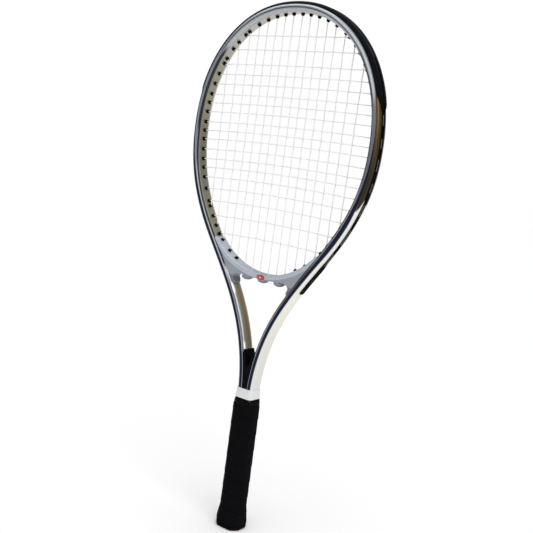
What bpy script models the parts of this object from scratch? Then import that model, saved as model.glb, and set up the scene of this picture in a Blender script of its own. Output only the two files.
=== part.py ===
"""Adult tennis racket with an aluminium frame, as the pieces it is assembled from.

Metres, +Z up. The butt of the handle stands on z = 0 and the head is on top. The
strings lie in the plane y = 0, the front of the racket faces -Y, and x = 0 is its
plane of symmetry. A place along the frame is its arc length from the top of the
head, positive down the right side and negative down the left.
"""
from math import cos, hypot, pi, sin, sqrt

import bmesh
import bpy
from mathutils import Vector

GAP = 0.0003

# The frame's centreline: a superellipse over the head, then one S curve to the handle.
HEAD_HALF_WIDTH = 0.1364
WIDEST_Z = 0.518
HEAD_TOP_Z = 0.6774
HEAD_POWER = 2.15
SHAFT_HALF_SPACING = 0.0060
HANDLE_TOP_Z = 0.1742
UPPER_HANDLE_LENGTH = 0.1463
LOWER_HANDLE_LENGTH = 0.1698
SHAFT_END_Z = 0.034

# The extruded tube.
TUBE_WIDTH = 0.0112
TUBE_DEPTH = 0.0206
TUBE_CHAMFER = 0.0025
TUBE_WALL = 0.0013
RING_SPACING = 0.0142

# Strings, and the square passages that they and their barrels run in.
MAIN_TOPS = (0.0067, 0.0191, 0.0318, 0.0452, 0.0586, 0.0730, 0.0885, 0.1050)
MAIN_FEET = (0.0067, 0.0195, 0.0325, 0.0470, 0.0600, 0.0742, 0.0885, 0.1030)
TOP_CROSS_Z = 0.6426
CROSS_GAPS_MM = (18, 19, 13.5, 13, 13.5, 11.5, 12, 13.5, 11.5, 11.5, 13.5, 13, 11.5, 13, 15, 16.5, 19.5, 22.5)
TOP_BOW = 0.0007
BOW_GROWTH = 0.0034
BOW_HALF_WIDTH = 0.120
STRING_HALF = 0.00058
WEAVE_OFFSET = 0.0015
BORE_HALF = 0.00092
BARREL_HALF = 0.00155
TUBE_HOLE_HALF = 0.00186
BARREL_REACH = 0.002
LOOP_LANE = 0.00125
LOOP_STEP = 0.007

# The bumper guard and the grommet strips, as heights over the tube's outer face.
STRIP_GAP = 0.00025
FLOOR_HEIGHT = 0.00065
LOOP_HEIGHT = 0.0014
STRIP_HEIGHT = 0.0019
BUMPER_HEIGHT = 0.0020
GROOVE_HALF = 0.0022
STRIP_HALF_WIDTH = 0.0036
BUMPER_END_Z = 0.562
BUMPER_TAPER = 0.016
BUMPER_WRAP = 0.0013
STRIP_END_Z = 0.331

# The bridge at the throat.
BRIDGE_ARC_RADIUS = 0.105
BRIDGE_TOP_Z = 0.3425
BRIDGE_HALF_DEPTH = 0.0096
ARM_TIP_Z = 0.379
LEG_END_Z = 0.3215
BRIDGE_INSET = -0.0022
BRIDGE_UNDERSIDE = (
    (0.0437, 0.3222), (0.0446, 0.3262), (0.0451, 0.3320), (0.0430, 0.3358),
    (0.0385, 0.3374), (0.0300, 0.3370), (0.0150, 0.3359), (0.0, 0.3354),
)
BRIDGE_BUMP_X = 0.0256
BRIDGE_BUMP_Z = 0.3352
BRIDGE_BUMP_SIZE = (0.0095, 0.0045, 0.0046)
BRIDGE_LOOP_Z = 0.3340
BADGE_CENTRE = (0.0025, -0.0099, 0.3386)
BADGE_HALF_SIZE = (0.0058, 0.0030)
BADGE_THICKNESS = 0.0011

# The insert between the shafts.
INSERT_BOTTOM_Z = 0.1912
INSERT_TOP_Z = 0.2400
INSERT_NOTCH_Z = 0.2196
LOBE_THICKNESS = 0.0015
LOBE_HEIGHTS = (0.2275, 0.2335, 0.2385)
INSERT_HALF_DEPTH = 0.0111

# The handle: half width, half depth and corner cut of each octagon.
PALLET_OCTAGON = (0.0157, 0.0134, 0.0072)
PALLET_NECK = (0.0136, 0.0119, 0.0040)
PALLET_BOTTOM_Z = 0.014
PALLET_TAPER_Z = 0.160
PALLET_TOP_Z = 0.1772
SHAFT_POCKET = (0.0122, 0.0107)
WRAP_OCTAGON = (0.0173, 0.0150, 0.0078)
WRAP_FLARE = (0.0194, 0.0174, 0.0086)
WRAP_BOTTOM_Z = 0.0046
WRAP_TOP_Z = 0.1655
FLARE_TOP_Z = 0.028
FLARE_Z = 0.012
CAP_FLARE = (0.0180, 0.0159, 0.0080)
CAP_RIM_Z = 0.0043
CAP_FLOOR_Z = 0.003
CAP_TOP_Z = 0.024
TAPE_THICKNESS = 0.0009
WRAP_END_THICKNESS = 0.0012
COLLAR_BOTTOM_Z = 0.1778
COLLAR_TOP_Z = 0.1908
PIN_RADIUS = 0.0015
PIN_HEIGHTS = (0.060, 0.130)
NAIL_RADIUS = 0.0008
NAIL_X = 0.0045
NAIL_Z = 0.0205
PLUG_HALF_SIZE = (0.0085, 0.0060)


# ---------------------------------------------------------------- scene and materials

def clear_scene():
    for thing in list(bpy.data.objects):
        bpy.data.objects.remove(thing, do_unlink=True)


def material(name, color, roughness, metallic=0.0):
    made = bpy.data.materials.new(name)
    made.use_nodes = True
    shader = made.node_tree.nodes["Principled BSDF"]
    shader.inputs["Base Color"].default_value = (*color, 1.0)
    shader.inputs["Roughness"].default_value = roughness
    shader.inputs["Metallic"].default_value = metallic
    return made


def mesh_object(name, vertices, faces, finish=None):
    """A solid from its points and faces, with every face turned outwards."""
    mesh = bpy.data.meshes.new(name)
    mesh.from_pydata(vertices, [], faces)
    build = bmesh.new()
    build.from_mesh(mesh)
    bmesh.ops.recalc_face_normals(build, faces=build.faces)
    build.to_mesh(mesh)
    build.free()
    made = bpy.data.objects.new(name, mesh)
    bpy.context.scene.collection.objects.link(made)
    if finish is not None:
        mesh.materials.append(finish)
    return made


def cutter(name, vertices, faces):
    made = mesh_object(name, vertices, faces)
    made.hide_render = True
    made.display_type = "WIRE"
    return made


def boolean(target, other, operation):
    step = target.modifiers.new(other.name, "BOOLEAN")
    step.operation = operation
    step.solver = "EXACT"
    step.object = other


# ---------------------------------------------------------------- the frame's centreline

def half_line():
    """Points (x, z) from the top of the head down the right side to the shaft's end."""
    count = 360
    power = 2 / HEAD_POWER
    rise = HEAD_TOP_Z - WIDEST_Z
    points = []
    for i in range(count + 1):
        angle = pi / 2 * i / count
        points.append((HEAD_HALF_WIDTH * sin(angle) ** power, WIDEST_Z + rise * abs(cos(angle)) ** power))
    handles = (
        (HEAD_HALF_WIDTH, WIDEST_Z),
        (HEAD_HALF_WIDTH, WIDEST_Z - UPPER_HANDLE_LENGTH),
        (SHAFT_HALF_SPACING, HANDLE_TOP_Z + LOWER_HANDLE_LENGTH),
        (SHAFT_HALF_SPACING, HANDLE_TOP_Z),
    )
    for i in range(1, count + 1):
        t = i / count
        weights = ((1 - t) ** 3, 3 * t * (1 - t) ** 2, 3 * t * t * (1 - t), t ** 3)
        x = sum(weight * point[0] for weight, point in zip(weights, handles))
        z = sum(weight * point[1] for weight, point in zip(weights, handles))
        points.append((x, z))
    points.append((SHAFT_HALF_SPACING, SHAFT_END_Z))
    return points


LINE = half_line()
LENGTHS = [0.0]
for start, end in zip(LINE, LINE[1:]):
    LENGTHS.append(LENGTHS[-1] + hypot(end[0] - start[0], end[1] - start[1]))
CURVE_LENGTH = LENGTHS[-2]
FULL_LENGTH = LENGTHS[-1]


def line_normal(index):
    before = LINE[max(index - 1, 0)]
    after = LINE[min(index + 1, len(LINE) - 1)]
    if index == 0:
        return 0.0, 1.0
    if index >= len(LINE) - 2:
        return 1.0, 0.0
    length = hypot(after[0] - before[0], after[1] - before[1])
    return (before[1] - after[1]) / length, (after[0] - before[0]) / length


def place(s):
    """Centreline point and outward normal at arc length s, as x, z, nx, nz."""
    distance = min(abs(s), FULL_LENGTH)
    low, high = 0, len(LENGTHS) - 1
    while high - low > 1:
        middle = (low + high) // 2
        if LENGTHS[middle] <= distance:
            low = middle
        else:
            high = middle
    t = (distance - LENGTHS[low]) / (LENGTHS[high] - LENGTHS[low])
    side = 1 if s >= 0 else -1
    normals = (line_normal(low), line_normal(high))
    x, z, nx, nz = (
        (1 - t) * start + t * end
        for start, end in zip((*LINE[low], *normals[0]), (*LINE[high], *normals[1]))
    )
    length = hypot(nx, nz)
    return side * x, z, side * nx / length, nz / length


def beside(s, out, depth=0.0):
    """The point that lies out from the centreline at s, at the given depth along Y."""
    x, z, nx, nz = place(s)
    return Vector((x + nx * out, depth, z + nz * out))


def solve(function, low, high):
    """The place between low and high where the function passes through zero."""
    rising = function(high) > 0
    for _ in range(50):
        middle = (low + high) / 2
        if (function(middle) > 0) == rising:
            high = middle
        else:
            low = middle
    return (low + high) / 2


def place_at_height(z, out=0.0):
    """Arc length on the right side where the line at that offset has height z."""
    return solve(lambda s: beside(s, out).z - z, 0.02, FULL_LENGTH)


WIDEST_S = place_at_height(WIDEST_Z)
BUMPER_END_S = place_at_height(BUMPER_END_Z, TUBE_WIDTH / 2)
STRIP_END_S = place_at_height(STRIP_END_Z)


def frame_rings(first, last):
    """Arc lengths of the rings of anything that follows the frame between two places."""
    count = round(CURVE_LENGTH / RING_SPACING)
    marks = [CURVE_LENGTH * i / count for i in range(-count, count + 1)]
    clearance = RING_SPACING / 4
    inside = [s for s in marks if first + clearance < s < last - clearance]
    return [first, *inside, last]


def swept(name, rings, section_at, finish=None, make=mesh_object):
    """A solid swept along the frame; section_at(s) gives its (out, depth) points."""
    vertices = []
    for s in rings:
        vertices.extend(beside(s, out, depth) for out, depth in section_at(s))
    size = len(section_at(rings[0]))
    faces = []
    for ring in range(len(rings) - 1):
        base = ring * size
        for i in range(size):
            j = (i + 1) % size
            faces.append((base + i, base + j, base + size + j, base + size + i))
    faces.append(tuple(range(size)))
    faces.append(tuple(range(len(vertices) - size, len(vertices))))
    if finish is None:
        return make(name, vertices, faces)
    return make(name, vertices, faces, finish)


# ---------------------------------------------------------------- where the strings run

def cross_heights():
    heights = [TOP_CROSS_Z]
    for gap in CROSS_GAPS_MM:
        heights.append(heights[-1] - gap / 1000)
    return heights


CROSS_HEIGHTS = cross_heights()
TOP_XS = [-x for x in reversed(MAIN_TOPS)] + list(MAIN_TOPS)
FOOT_XS = [-x for x in reversed(MAIN_FEET)] + list(MAIN_FEET)
MAIN_COUNT = len(TOP_XS)
TIP_OUT = -(TUBE_WIDTH / 2 + BARREL_REACH)
LOOP_OUT = TUBE_WIDTH / 2 + LOOP_HEIGHT
BRIDGE_CENTRE_Z = BRIDGE_TOP_Z + BRIDGE_ARC_RADIUS


def cross_z(number, x):
    """Height of a cross string at x: the lower ones bow up towards the middle."""
    bow = TOP_BOW + BOW_GROWTH * number / (len(CROSS_HEIGHTS) - 1)
    return CROSS_HEIGHTS[number] + bow * (1 - (x / BOW_HALF_WIDTH) ** 2)


def inner_end(s):
    """Where the barrel at s ends, measured out from the line: just past the tube or the bridge."""
    x, z, nx, nz = place(s)
    if z > ARM_TIP_Z:
        return TIP_OUT
    rise = z - BRIDGE_CENTRE_Z
    along = x * nx + rise * nz
    radius = BRIDGE_ARC_RADIUS - BARREL_REACH
    inside = along * along - x * x - rise * rise + radius * radius
    return min(TIP_OUT, sqrt(max(inside, 0.0)) - along)


def hole_at(miss, low, high, side):
    """The arc length and inner end of a barrel, placed where miss(its inner end) is zero."""
    s = solve(lambda place_s: miss(beside(place_s, inner_end(place_s))), low, high)
    return side * s, inner_end(s)


def top_hole(x):
    return hole_at(lambda tip: tip.x - abs(x), 0.0, WIDEST_S, 1 if x > 0 else -1)


def bottom_hole(x):
    return hole_at(lambda tip: tip.x - abs(x), WIDEST_S, STRIP_END_S, 1 if x > 0 else -1)


def cross_hole(number, side):
    return hole_at(lambda tip: tip.z - cross_z(number, tip.x), 0.03, STRIP_END_S, side)


TOP_HOLES = [top_hole(x) for x in TOP_XS]
OUTER_MAINS = [i for i in range(MAIN_COUNT) if abs(TOP_XS[i]) >= MAIN_TOPS[3]]
BOTTOM_HOLES = {i: bottom_hole(FOOT_XS[i]) for i in OUTER_MAINS}
CROSS_HOLES = {side: [cross_hole(n, side) for n in range(len(CROSS_HEIGHTS))] for side in (-1, 1)}
ALL_HOLES = TOP_HOLES + list(BOTTOM_HOLES.values()) + CROSS_HOLES[-1] + CROSS_HOLES[1]


def prism(hole, half, inner, outer):
    """Points and faces of a square passage along the frame's normal at a hole."""
    s = hole[0]
    x, z, nx, nz = place(s)
    along = Vector((-nz, 0, nx))
    corners = []
    for out in (inner, outer):
        middle = beside(s, out)
        for a, b in ((-1, -1), (1, -1), (1, 1), (-1, 1)):
            corners.append(middle + along * half * a + Vector((0, half * b, 0)))
    faces = [(0, 1, 2, 3), (4, 5, 6, 7)] + [(i, (i + 1) % 4, 4 + (i + 1) % 4, 4 + i) for i in range(4)]
    return corners, faces


def joined(shapes):
    vertices, faces = [], []
    for points, sides in shapes:
        base = len(vertices)
        vertices.extend(points)
        faces.extend(tuple(base + i for i in side) for side in sides)
    return vertices, faces


def passages(name, holes, half, inner, outer):
    """A cutter, or a set of barrels, with one square prism for each hole."""
    return cutter(name, *joined([prism(hole, half, inner(hole), outer) for hole in holes]))


def string_shape(path, half):
    """Points and faces of a square string along a path, mitred where it turns."""
    vertices = []
    for i, point in enumerate(path):
        before = (point - path[i - 1]).normalized() if i else (path[1] - point).normalized()
        after = (path[i + 1] - point).normalized() if i + 1 < len(path) else before
        tangent = (before + after).normalized()
        flat = Vector((tangent.x, 0, tangent.z))
        across = Vector((-flat.z, 0, flat.x)).normalized()
        up = tangent.cross(across)
        flat_before = Vector((before.x, 0, before.z)).normalized()
        flat_after = Vector((after.x, 0, after.z)).normalized()
        stretch = 1 / max(sqrt(max((1 + flat_before.dot(flat_after)) / 2, 0.0)), 0.4)
        for a, b in ((-1, -1), (1, -1), (1, 1), (-1, 1)):
            vertices.append(point + across * half * stretch * a + up * half * b)
    faces = []
    for ring in range(len(path) - 1):
        base = 4 * ring
        for i in range(4):
            j = (i + 1) % 4
            faces.append((base + i, base + j, base + 4 + j, base + 4 + i))
    faces.append((0, 1, 2, 3))
    last = len(vertices)
    faces.append((last - 4, last - 3, last - 2, last - 1))
    return vertices, faces


def loop(first, last, lane):
    """A string's way in the outer groove, from one hole's mouth to the next one's."""
    start, end = first[0], last[0]
    turn = 0.0016 if end > start else -0.0016
    steps = max(round(abs(end - start) / LOOP_STEP), 2)
    points = [beside(start, LOOP_OUT)]
    for i in range(steps + 1):
        s = start + turn + (end - start - 2 * turn) * i / steps
        points.append(beside(s, LOOP_OUT, lane))
    points.append(beside(end, LOOP_OUT))
    return points


def into_bed(hole):
    """The straight run out of a barrel's inner end."""
    return beside(hole[0], hole[1] - 0.0007)


def main_path():
    """The whole main string: up and down the bed, from the left tie-off to the right."""
    points = [beside(BOTTOM_HOLES[0][0], LOOP_OUT)]
    last = MAIN_COUNT - 1
    for i, x in enumerate(FOOT_XS):
        top = [into_bed(TOP_HOLES[i])]
        bottom = [into_bed(BOTTOM_HOLES[i])] if i in BOTTOM_HOLES else [Vector((x, 0, BRIDGE_LOOP_Z))]
        if i % 2 == 0:
            points += bottom + top
            points += loop(TOP_HOLES[i], TOP_HOLES[i + 1], -LOOP_LANE)
        else:
            points += top + bottom
            if i in BOTTOM_HOLES and i < last:
                # Down the left side the arc length falls towards the shafts.
                points += loop(BOTTOM_HOLES[i], BOTTOM_HOLES[i + 1], -LOOP_LANE)
    points.append(beside(BOTTOM_HOLES[last][0], LOOP_OUT))
    return points


def main_x(i, z):
    """Where main string i is at a height: the mains fan out a little towards the throat."""
    top = beside(*TOP_HOLES[i]).z
    foot = beside(*BOTTOM_HOLES[i]).z if i in BOTTOM_HOLES else BRIDGE_TOP_Z
    return TOP_XS[i] + (FOOT_XS[i] - TOP_XS[i]) * (top - z) / (top - foot)


def meeting_points(number):
    """Where a cross string meets each of the mains between its two holes, as (main, x, z)."""
    limit = beside(*CROSS_HOLES[1][number]).x - 0.0012
    found = []
    for i in range(MAIN_COUNT):
        x = main_x(i, CROSS_HEIGHTS[number])
        if abs(x) < limit:
            found.append((i, x, cross_z(number, x)))
    return found


def cross_path():
    """The whole cross string: side to side down the bed, over one main and under the next."""
    points = [beside(CROSS_HOLES[-1][0][0], LOOP_OUT)]
    for number in range(len(CROSS_HEIGHTS)):
        woven = []
        for i, x, z in meeting_points(number):
            front = -1 if (i + number) % 2 else 1
            woven.append(Vector((x, front * WEAVE_OFFSET, z)))
        row = [into_bed(CROSS_HOLES[-1][number])] + woven + [into_bed(CROSS_HOLES[1][number])]
        side = 1 if number % 2 == 0 else -1
        points += row if side == 1 else row[::-1]
        if number + 1 < len(CROSS_HEIGHTS):
            points += loop(CROSS_HOLES[side][number], CROSS_HOLES[side][number + 1], LOOP_LANE)
        else:
            points.append(beside(CROSS_HOLES[side][number][0], LOOP_OUT))
    return points


# ---------------------------------------------------------------- the frame and its trim

def tube_section(grow):
    width = TUBE_WIDTH / 2 + grow
    depth = TUBE_DEPTH / 2 + grow
    cut = TUBE_CHAMFER + grow * (2 - sqrt(2))
    right = [(width - cut, -depth), (width, cut - depth), (width, depth - cut), (width - cut, depth)]
    return right + [(-out, side) for out, side in reversed(right)]


def frame_tube(finish, pins):
    rings = frame_rings(-CURVE_LENGTH, CURVE_LENGTH)
    rings = [-FULL_LENGTH, *rings, FULL_LENGTH]
    tube = swept("frame_tube", rings, lambda s: tube_section(0), finish)
    bore_out = TUBE_WIDTH / 2 - TUBE_WALL
    bore_depth = TUBE_DEPTH / 2 - TUBE_WALL
    corners = [(bore_out, -bore_depth), (bore_out, bore_depth), (-bore_out, bore_depth), (-bore_out, -bore_depth)]
    cavity = swept("frame_cavity", rings, lambda s: corners, make=cutter)
    for vertex in cavity.data.vertices:
        if vertex.co.z < SHAFT_END_Z + GAP:
            vertex.co.z -= 0.002
    boolean(tube, cavity, "DIFFERENCE")
    reach = TUBE_WIDTH / 2 + 0.001
    holes = passages("frame_holes", ALL_HOLES, TUBE_HOLE_HALF, lambda hole: -reach, reach)
    boolean(tube, holes, "DIFFERENCE")
    boolean(tube, pins, "DIFFERENCE")
    return tube


def strip_section(s):
    base = TUBE_WIDTH / 2
    low = base + STRIP_GAP
    floor = base + FLOOR_HEIGHT
    top = base + STRIP_HEIGHT
    half = STRIP_HALF_WIDTH
    side = [(low, half), (top - 0.0004, half), (top, half - 0.0004), (top, GROOVE_HALF), (floor, GROOVE_HALF)]
    return side + [(out, -depth) for out, depth in reversed(side)]


def bumper_section(s):
    """The guard wraps the tube's outer corners, and narrows to a strip at each end."""
    base = TUBE_WIDTH / 2
    low = base + STRIP_GAP
    floor = base + FLOOR_HEIGHT
    top = base + BUMPER_HEIGHT
    from_end = BUMPER_END_S - abs(s)
    ramp = min(max(from_end / BUMPER_TAPER, 0), 1)
    corner = TUBE_DEPTH / 2 - TUBE_CHAMFER
    half = STRIP_HALF_WIDTH + (corner - STRIP_HALF_WIDTH) * ramp
    wrap = BUMPER_WRAP * min(max((from_end - BUMPER_TAPER) / RING_SPACING, 0), 1)
    side = [
        (low, half + 0.0001),
        (low - wrap, half + 0.0001 + wrap),
        (low - wrap * 0.5 + 0.0004, half + 0.0002 + wrap * 1.5),
        (top, half - 0.0002),
        (top, GROOVE_HALF),
        (floor, GROOVE_HALF),
    ]
    return side + [(out, -depth) for out, depth in reversed(side)]


def moulding(name, rings, section_at, holes, finish):
    """A guard or strip with one hollow barrel for each hole that it covers."""
    body = swept(name, rings, section_at, finish)
    floor_middle = TUBE_WIDTH / 2 + (STRIP_GAP + FLOOR_HEIGHT) / 2
    barrels = passages(name + "_barrels", holes, BARREL_HALF, lambda hole: hole[1], floor_middle)
    boolean(body, barrels, "UNION")
    reach = TUBE_WIDTH / 2 + 0.004
    bores = passages(name + "_bores", holes, BORE_HALF, lambda hole: hole[1] - 0.001, reach)
    boolean(body, bores, "DIFFERENCE")
    return body


def bumper_guard(finish):
    holes = [hole for hole in ALL_HOLES if abs(hole[0]) < BUMPER_END_S]
    rings = frame_rings(-BUMPER_END_S, BUMPER_END_S)
    taper = BUMPER_END_S - BUMPER_TAPER
    rings = sorted(rings + [-taper, taper])
    return moulding("bumper_guard", rings, bumper_section, holes, finish)


def grommet_strip(name, side, finish):
    first = BUMPER_END_S + GAP
    holes = [hole for hole in ALL_HOLES if hole[0] * side > first]
    rings = frame_rings(first, STRIP_END_S)
    return moulding(name, [side * s for s in rings], strip_section, holes, finish)


def strings(name, path, finish):
    return mesh_object(name, *string_shape(path, STRING_HALF), finish)


# ---------------------------------------------------------------- the throat

def extruded(name, outline, half_depth, finish):
    """A flat outline of (x, z) points, made half_depth thick each way along Y."""
    count = len(outline)
    vertices = [(x, -half_depth, z) for x, z in outline] + [(x, half_depth, z) for x, z in outline]
    faces = [tuple(range(count)), tuple(range(count, 2 * count))]
    for i in range(count):
        j = (i + 1) % count
        faces.append((i, j, count + j, count + i))
    return mesh_object(name, vertices, faces, finish)


def arc_height(x):
    return BRIDGE_CENTRE_Z - sqrt(BRIDGE_ARC_RADIUS ** 2 - x * x)


def bridge_outline():
    """The right half from the middle of the top: arc, arm tip, frame side, leg, underside."""
    arm_x = sqrt(BRIDGE_ARC_RADIUS ** 2 - (BRIDGE_CENTRE_Z - ARM_TIP_Z) ** 2)
    steps = 12
    right = [(arm_x * i / steps, arc_height(arm_x * i / steps)) for i in range(1, steps + 1)]
    first = place_at_height(ARM_TIP_Z + 0.001, BRIDGE_INSET)
    last = place_at_height(LEG_END_Z, BRIDGE_INSET)
    for i in range(6):
        point = beside(first + (last - first) * i / 5, BRIDGE_INSET)
        right.append((point.x, point.z))
    right += BRIDGE_UNDERSIDE[:-1]
    left = [(-x, z) for x, z in reversed(right)]
    return [(0.0, BRIDGE_TOP_Z)] + right + [BRIDGE_UNDERSIDE[-1]] + left


def ellipsoid(centre, size, segments, rows):
    vertices = [(centre[0], centre[1], centre[2] + size[2])]
    for row in range(1, rows):
        polar = pi * row / rows
        for i in range(segments):
            turn = 2 * pi * i / segments
            offset = (sin(polar) * cos(turn), sin(polar) * sin(turn), cos(polar))
            vertices.append(tuple(c + d * o for c, d, o in zip(centre, size, offset)))
    vertices.append((centre[0], centre[1], centre[2] - size[2]))
    end = len(vertices) - 1
    faces = [(0, 1 + i, 1 + (i + 1) % segments) for i in range(segments)]
    for row in range(rows - 2):
        base = 1 + row * segments
        for i in range(segments):
            j = (i + 1) % segments
            faces.append((base + i, base + segments + i, base + segments + j, base + j))
    base = end - segments
    faces += [(end, base + (i + 1) % segments, base + i) for i in range(segments)]
    return vertices, faces


def throat_bridge(finish, clearance):
    bridge = extruded("throat_bridge", bridge_outline(), BRIDGE_HALF_DEPTH, finish)
    places = (-BRIDGE_BUMP_X, 0, BRIDGE_BUMP_X)
    bumps = [ellipsoid((x, 0, BRIDGE_BUMP_Z), BRIDGE_BUMP_SIZE, 10, 6) for x in places]
    boolean(bridge, cutter("bridge_bumps", *joined(bumps)), "UNION")
    boolean(bridge, clearance, "DIFFERENCE")
    long_holes = [hole for hole in ALL_HOLES if hole[1] < TIP_OUT]
    holes = passages("bridge_holes", long_holes, TUBE_HOLE_HALF, lambda hole: hole[1] - 0.004, 0.0)
    boolean(bridge, holes, "DIFFERENCE")
    inner = [i for i in range(MAIN_COUNT) if i not in BOTTOM_HOLES]
    paths = []
    for i in inner[::2]:
        left, right = FOOT_XS[i], FOOT_XS[i + 1]
        top = BRIDGE_TOP_Z + 0.012
        corners = ((left, top), (left, BRIDGE_LOOP_Z), (right, BRIDGE_LOOP_Z), (right, top))
        paths.append(string_shape([Vector((x, 0, z)) for x, z in corners], BORE_HALF))
    boolean(bridge, cutter("bridge_string_ways", *joined(paths)), "DIFFERENCE")
    return bridge


def bridge_badge(finish):
    count = 20
    x, y, z = BADGE_CENTRE
    outline = []
    for i in range(count):
        turn = 2 * pi * i / count
        outline.append((x + BADGE_HALF_SIZE[0] * cos(turn), z + BADGE_HALF_SIZE[1] * sin(turn)))
    back = [(a, y, b) for a, b in outline]
    front = [(x + (a - x) * 0.86, y - BADGE_THICKNESS, z + (b - z) * 0.86) for a, b in outline]
    rim = [(a, y - BADGE_THICKNESS * 0.6, b) for a, b in outline]
    faces = [tuple(range(count)), tuple(range(2 * count, 3 * count))]
    for base in (0, count):
        for i in range(count):
            j = (i + 1) % count
            faces.append((base + i, base + j, base + count + j, base + count + i))
    return mesh_object("bridge_badge", back + rim + front, faces, finish)


def throat_insert(finish, clearance):
    """A wedge between the shafts, notched on top, with a lobe up the inner face of each."""
    steps = 5
    first = place_at_height(INSERT_TOP_Z)
    last = place_at_height(INSERT_BOTTOM_Z)
    right = []
    for i in range(steps + 1):
        point = beside(first + (last - first) * i / steps, -0.0010)
        right.append((point.x, point.z))
    notch_side = [(0.0020, INSERT_NOTCH_Z + 0.0020)]
    inner_face = -TUBE_WIDTH / 2 - LOBE_THICKNESS
    for z in LOBE_HEIGHTS:
        point = beside(place_at_height(z), inner_face)
        notch_side.append((point.x, point.z))
    right = notch_side + right
    left = [(-x, z) for x, z in reversed(right)]
    insert = extruded("throat_insert", [(0.0, INSERT_NOTCH_Z)] + right + left, INSERT_HALF_DEPTH, finish)
    boolean(insert, clearance, "DIFFERENCE")
    return insert


# ---------------------------------------------------------------- the handle

def octagon(shape, grow=0.0):
    width, depth, cut = shape
    width += grow
    depth += grow
    cut += grow * (2 - sqrt(2))
    return [
        (width, cut - depth), (width, depth - cut), (width - cut, depth), (cut - width, depth),
        (-width, depth - cut), (-width, cut - depth), (cut - width, -depth), (width - cut, -depth),
    ]


def sleeve(name, outer, inner, finish):
    """A hollow piece between two stacks of rings, each ring a height and its points."""
    vertices, faces = [], []
    size = len(outer[0][1])
    stack = outer + inner[::-1]
    for z, points in stack:
        vertices.extend((x, y, z) for x, y in points)
    rings = len(stack)
    for ring in range(rings):
        base = ring * size
        following = (ring + 1) % rings * size
        for i in range(size):
            j = (i + 1) % size
            faces.append((base + i, base + j, following + j, following + i))
    return mesh_object(name, vertices, faces, finish)


def pallet_half(name, side, finish, pins, nails):
    """One moulded half of the handle, from its flat joint face at y = 0 out to the octagon."""
    pocket_x, pocket_y = SHAFT_POCKET
    vertices, faces = [], []
    heights = ((PALLET_BOTTOM_Z, PALLET_OCTAGON), (PALLET_TAPER_Z, PALLET_OCTAGON), (PALLET_TOP_Z, PALLET_NECK))
    for z, (width, depth, cut) in heights:
        joint = GAP / 2
        outline = [(width, joint), (width, depth - cut), (width - cut, depth)]
        outline += [(-x, y) for x, y in reversed(outline)]
        outline += [(-pocket_x, joint), (-pocket_x, pocket_y), (pocket_x, pocket_y), (pocket_x, joint)]
        vertices.extend((x, y * side, z) for x, y in outline)
    size = len(vertices) // len(heights)
    for ring in range(len(heights) - 1):
        base = ring * size
        for i in range(size):
            j = (i + 1) % size
            faces.append((base + i, base + j, base + size + j, base + size + i))
    faces.append(tuple(range(size)))
    faces.append(tuple(range(len(vertices) - size, len(vertices))))
    half = mesh_object(name, vertices, faces, finish)
    boolean(half, pins, "DIFFERENCE")
    boolean(half, nails, "DIFFERENCE")
    return half


def rod(start, end, radius, sides=8):
    axis = Vector(end) - Vector(start)
    turn = Vector((0, 0, 1)).rotation_difference(axis)
    vertices = []
    for point in (Vector(start), Vector(end)):
        for i in range(sides):
            angle = 2 * pi * i / sides
            vertices.append(point + turn @ Vector((radius * cos(angle), radius * sin(angle), 0)))
    faces = [tuple(range(sides)), tuple(range(sides, 2 * sides))]
    faces += [(i, (i + 1) % sides, sides + (i + 1) % sides, sides + i) for i in range(sides)]
    return vertices, faces


def pin_shapes(grow):
    """Pins along Y, two through each shaft, that draw the pallet halves together."""
    reach = PALLET_OCTAGON[1] - 0.0004 + 5 * grow
    shapes = {}
    for side, x in (("left", -SHAFT_HALF_SPACING), ("right", SHAFT_HALF_SPACING)):
        for level, z in zip(("lower", "upper"), PIN_HEIGHTS):
            shapes[f"pallet_pin_{side}_{level}"] = rod((x, -reach, z), (x, reach, z), PIN_RADIUS + grow)
    return shapes


def nail_shapes(grow):
    """Short nails along Y that hold the butt cap's skirt to the pallet."""
    head = PALLET_OCTAGON[1] + 0.0011 + 5 * grow
    tip = SHAFT_POCKET[1] + 0.0006 - grow
    shapes = {}
    for face, y_side in (("front", -1), ("back", 1)):
        for side, x in (("left", -NAIL_X), ("right", NAIL_X)):
            nail = rod((x, y_side * head, NAIL_Z), (x, y_side * tip, NAIL_Z), NAIL_RADIUS + grow, 6)
            shapes[f"cap_nail_{face}_{side}"] = nail
    return shapes


def fasteners(shapes, finish):
    for name, shape in shapes.items():
        mesh_object(name, *shape, finish)


def skirt_octagon(z):
    """The butt cap's outside at a height: the flare, narrowing to a thin skirt on the pallet."""
    t = (z - FLARE_Z) / (CAP_TOP_Z - FLARE_Z)
    thin = tuple(value + 0.0014 for value in PALLET_OCTAGON[:2]) + (PALLET_OCTAGON[2] + 0.0008,)
    return tuple(a + (b - a) * min(max(t, 0), 1) for a, b in zip(CAP_FLARE, thin))


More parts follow.
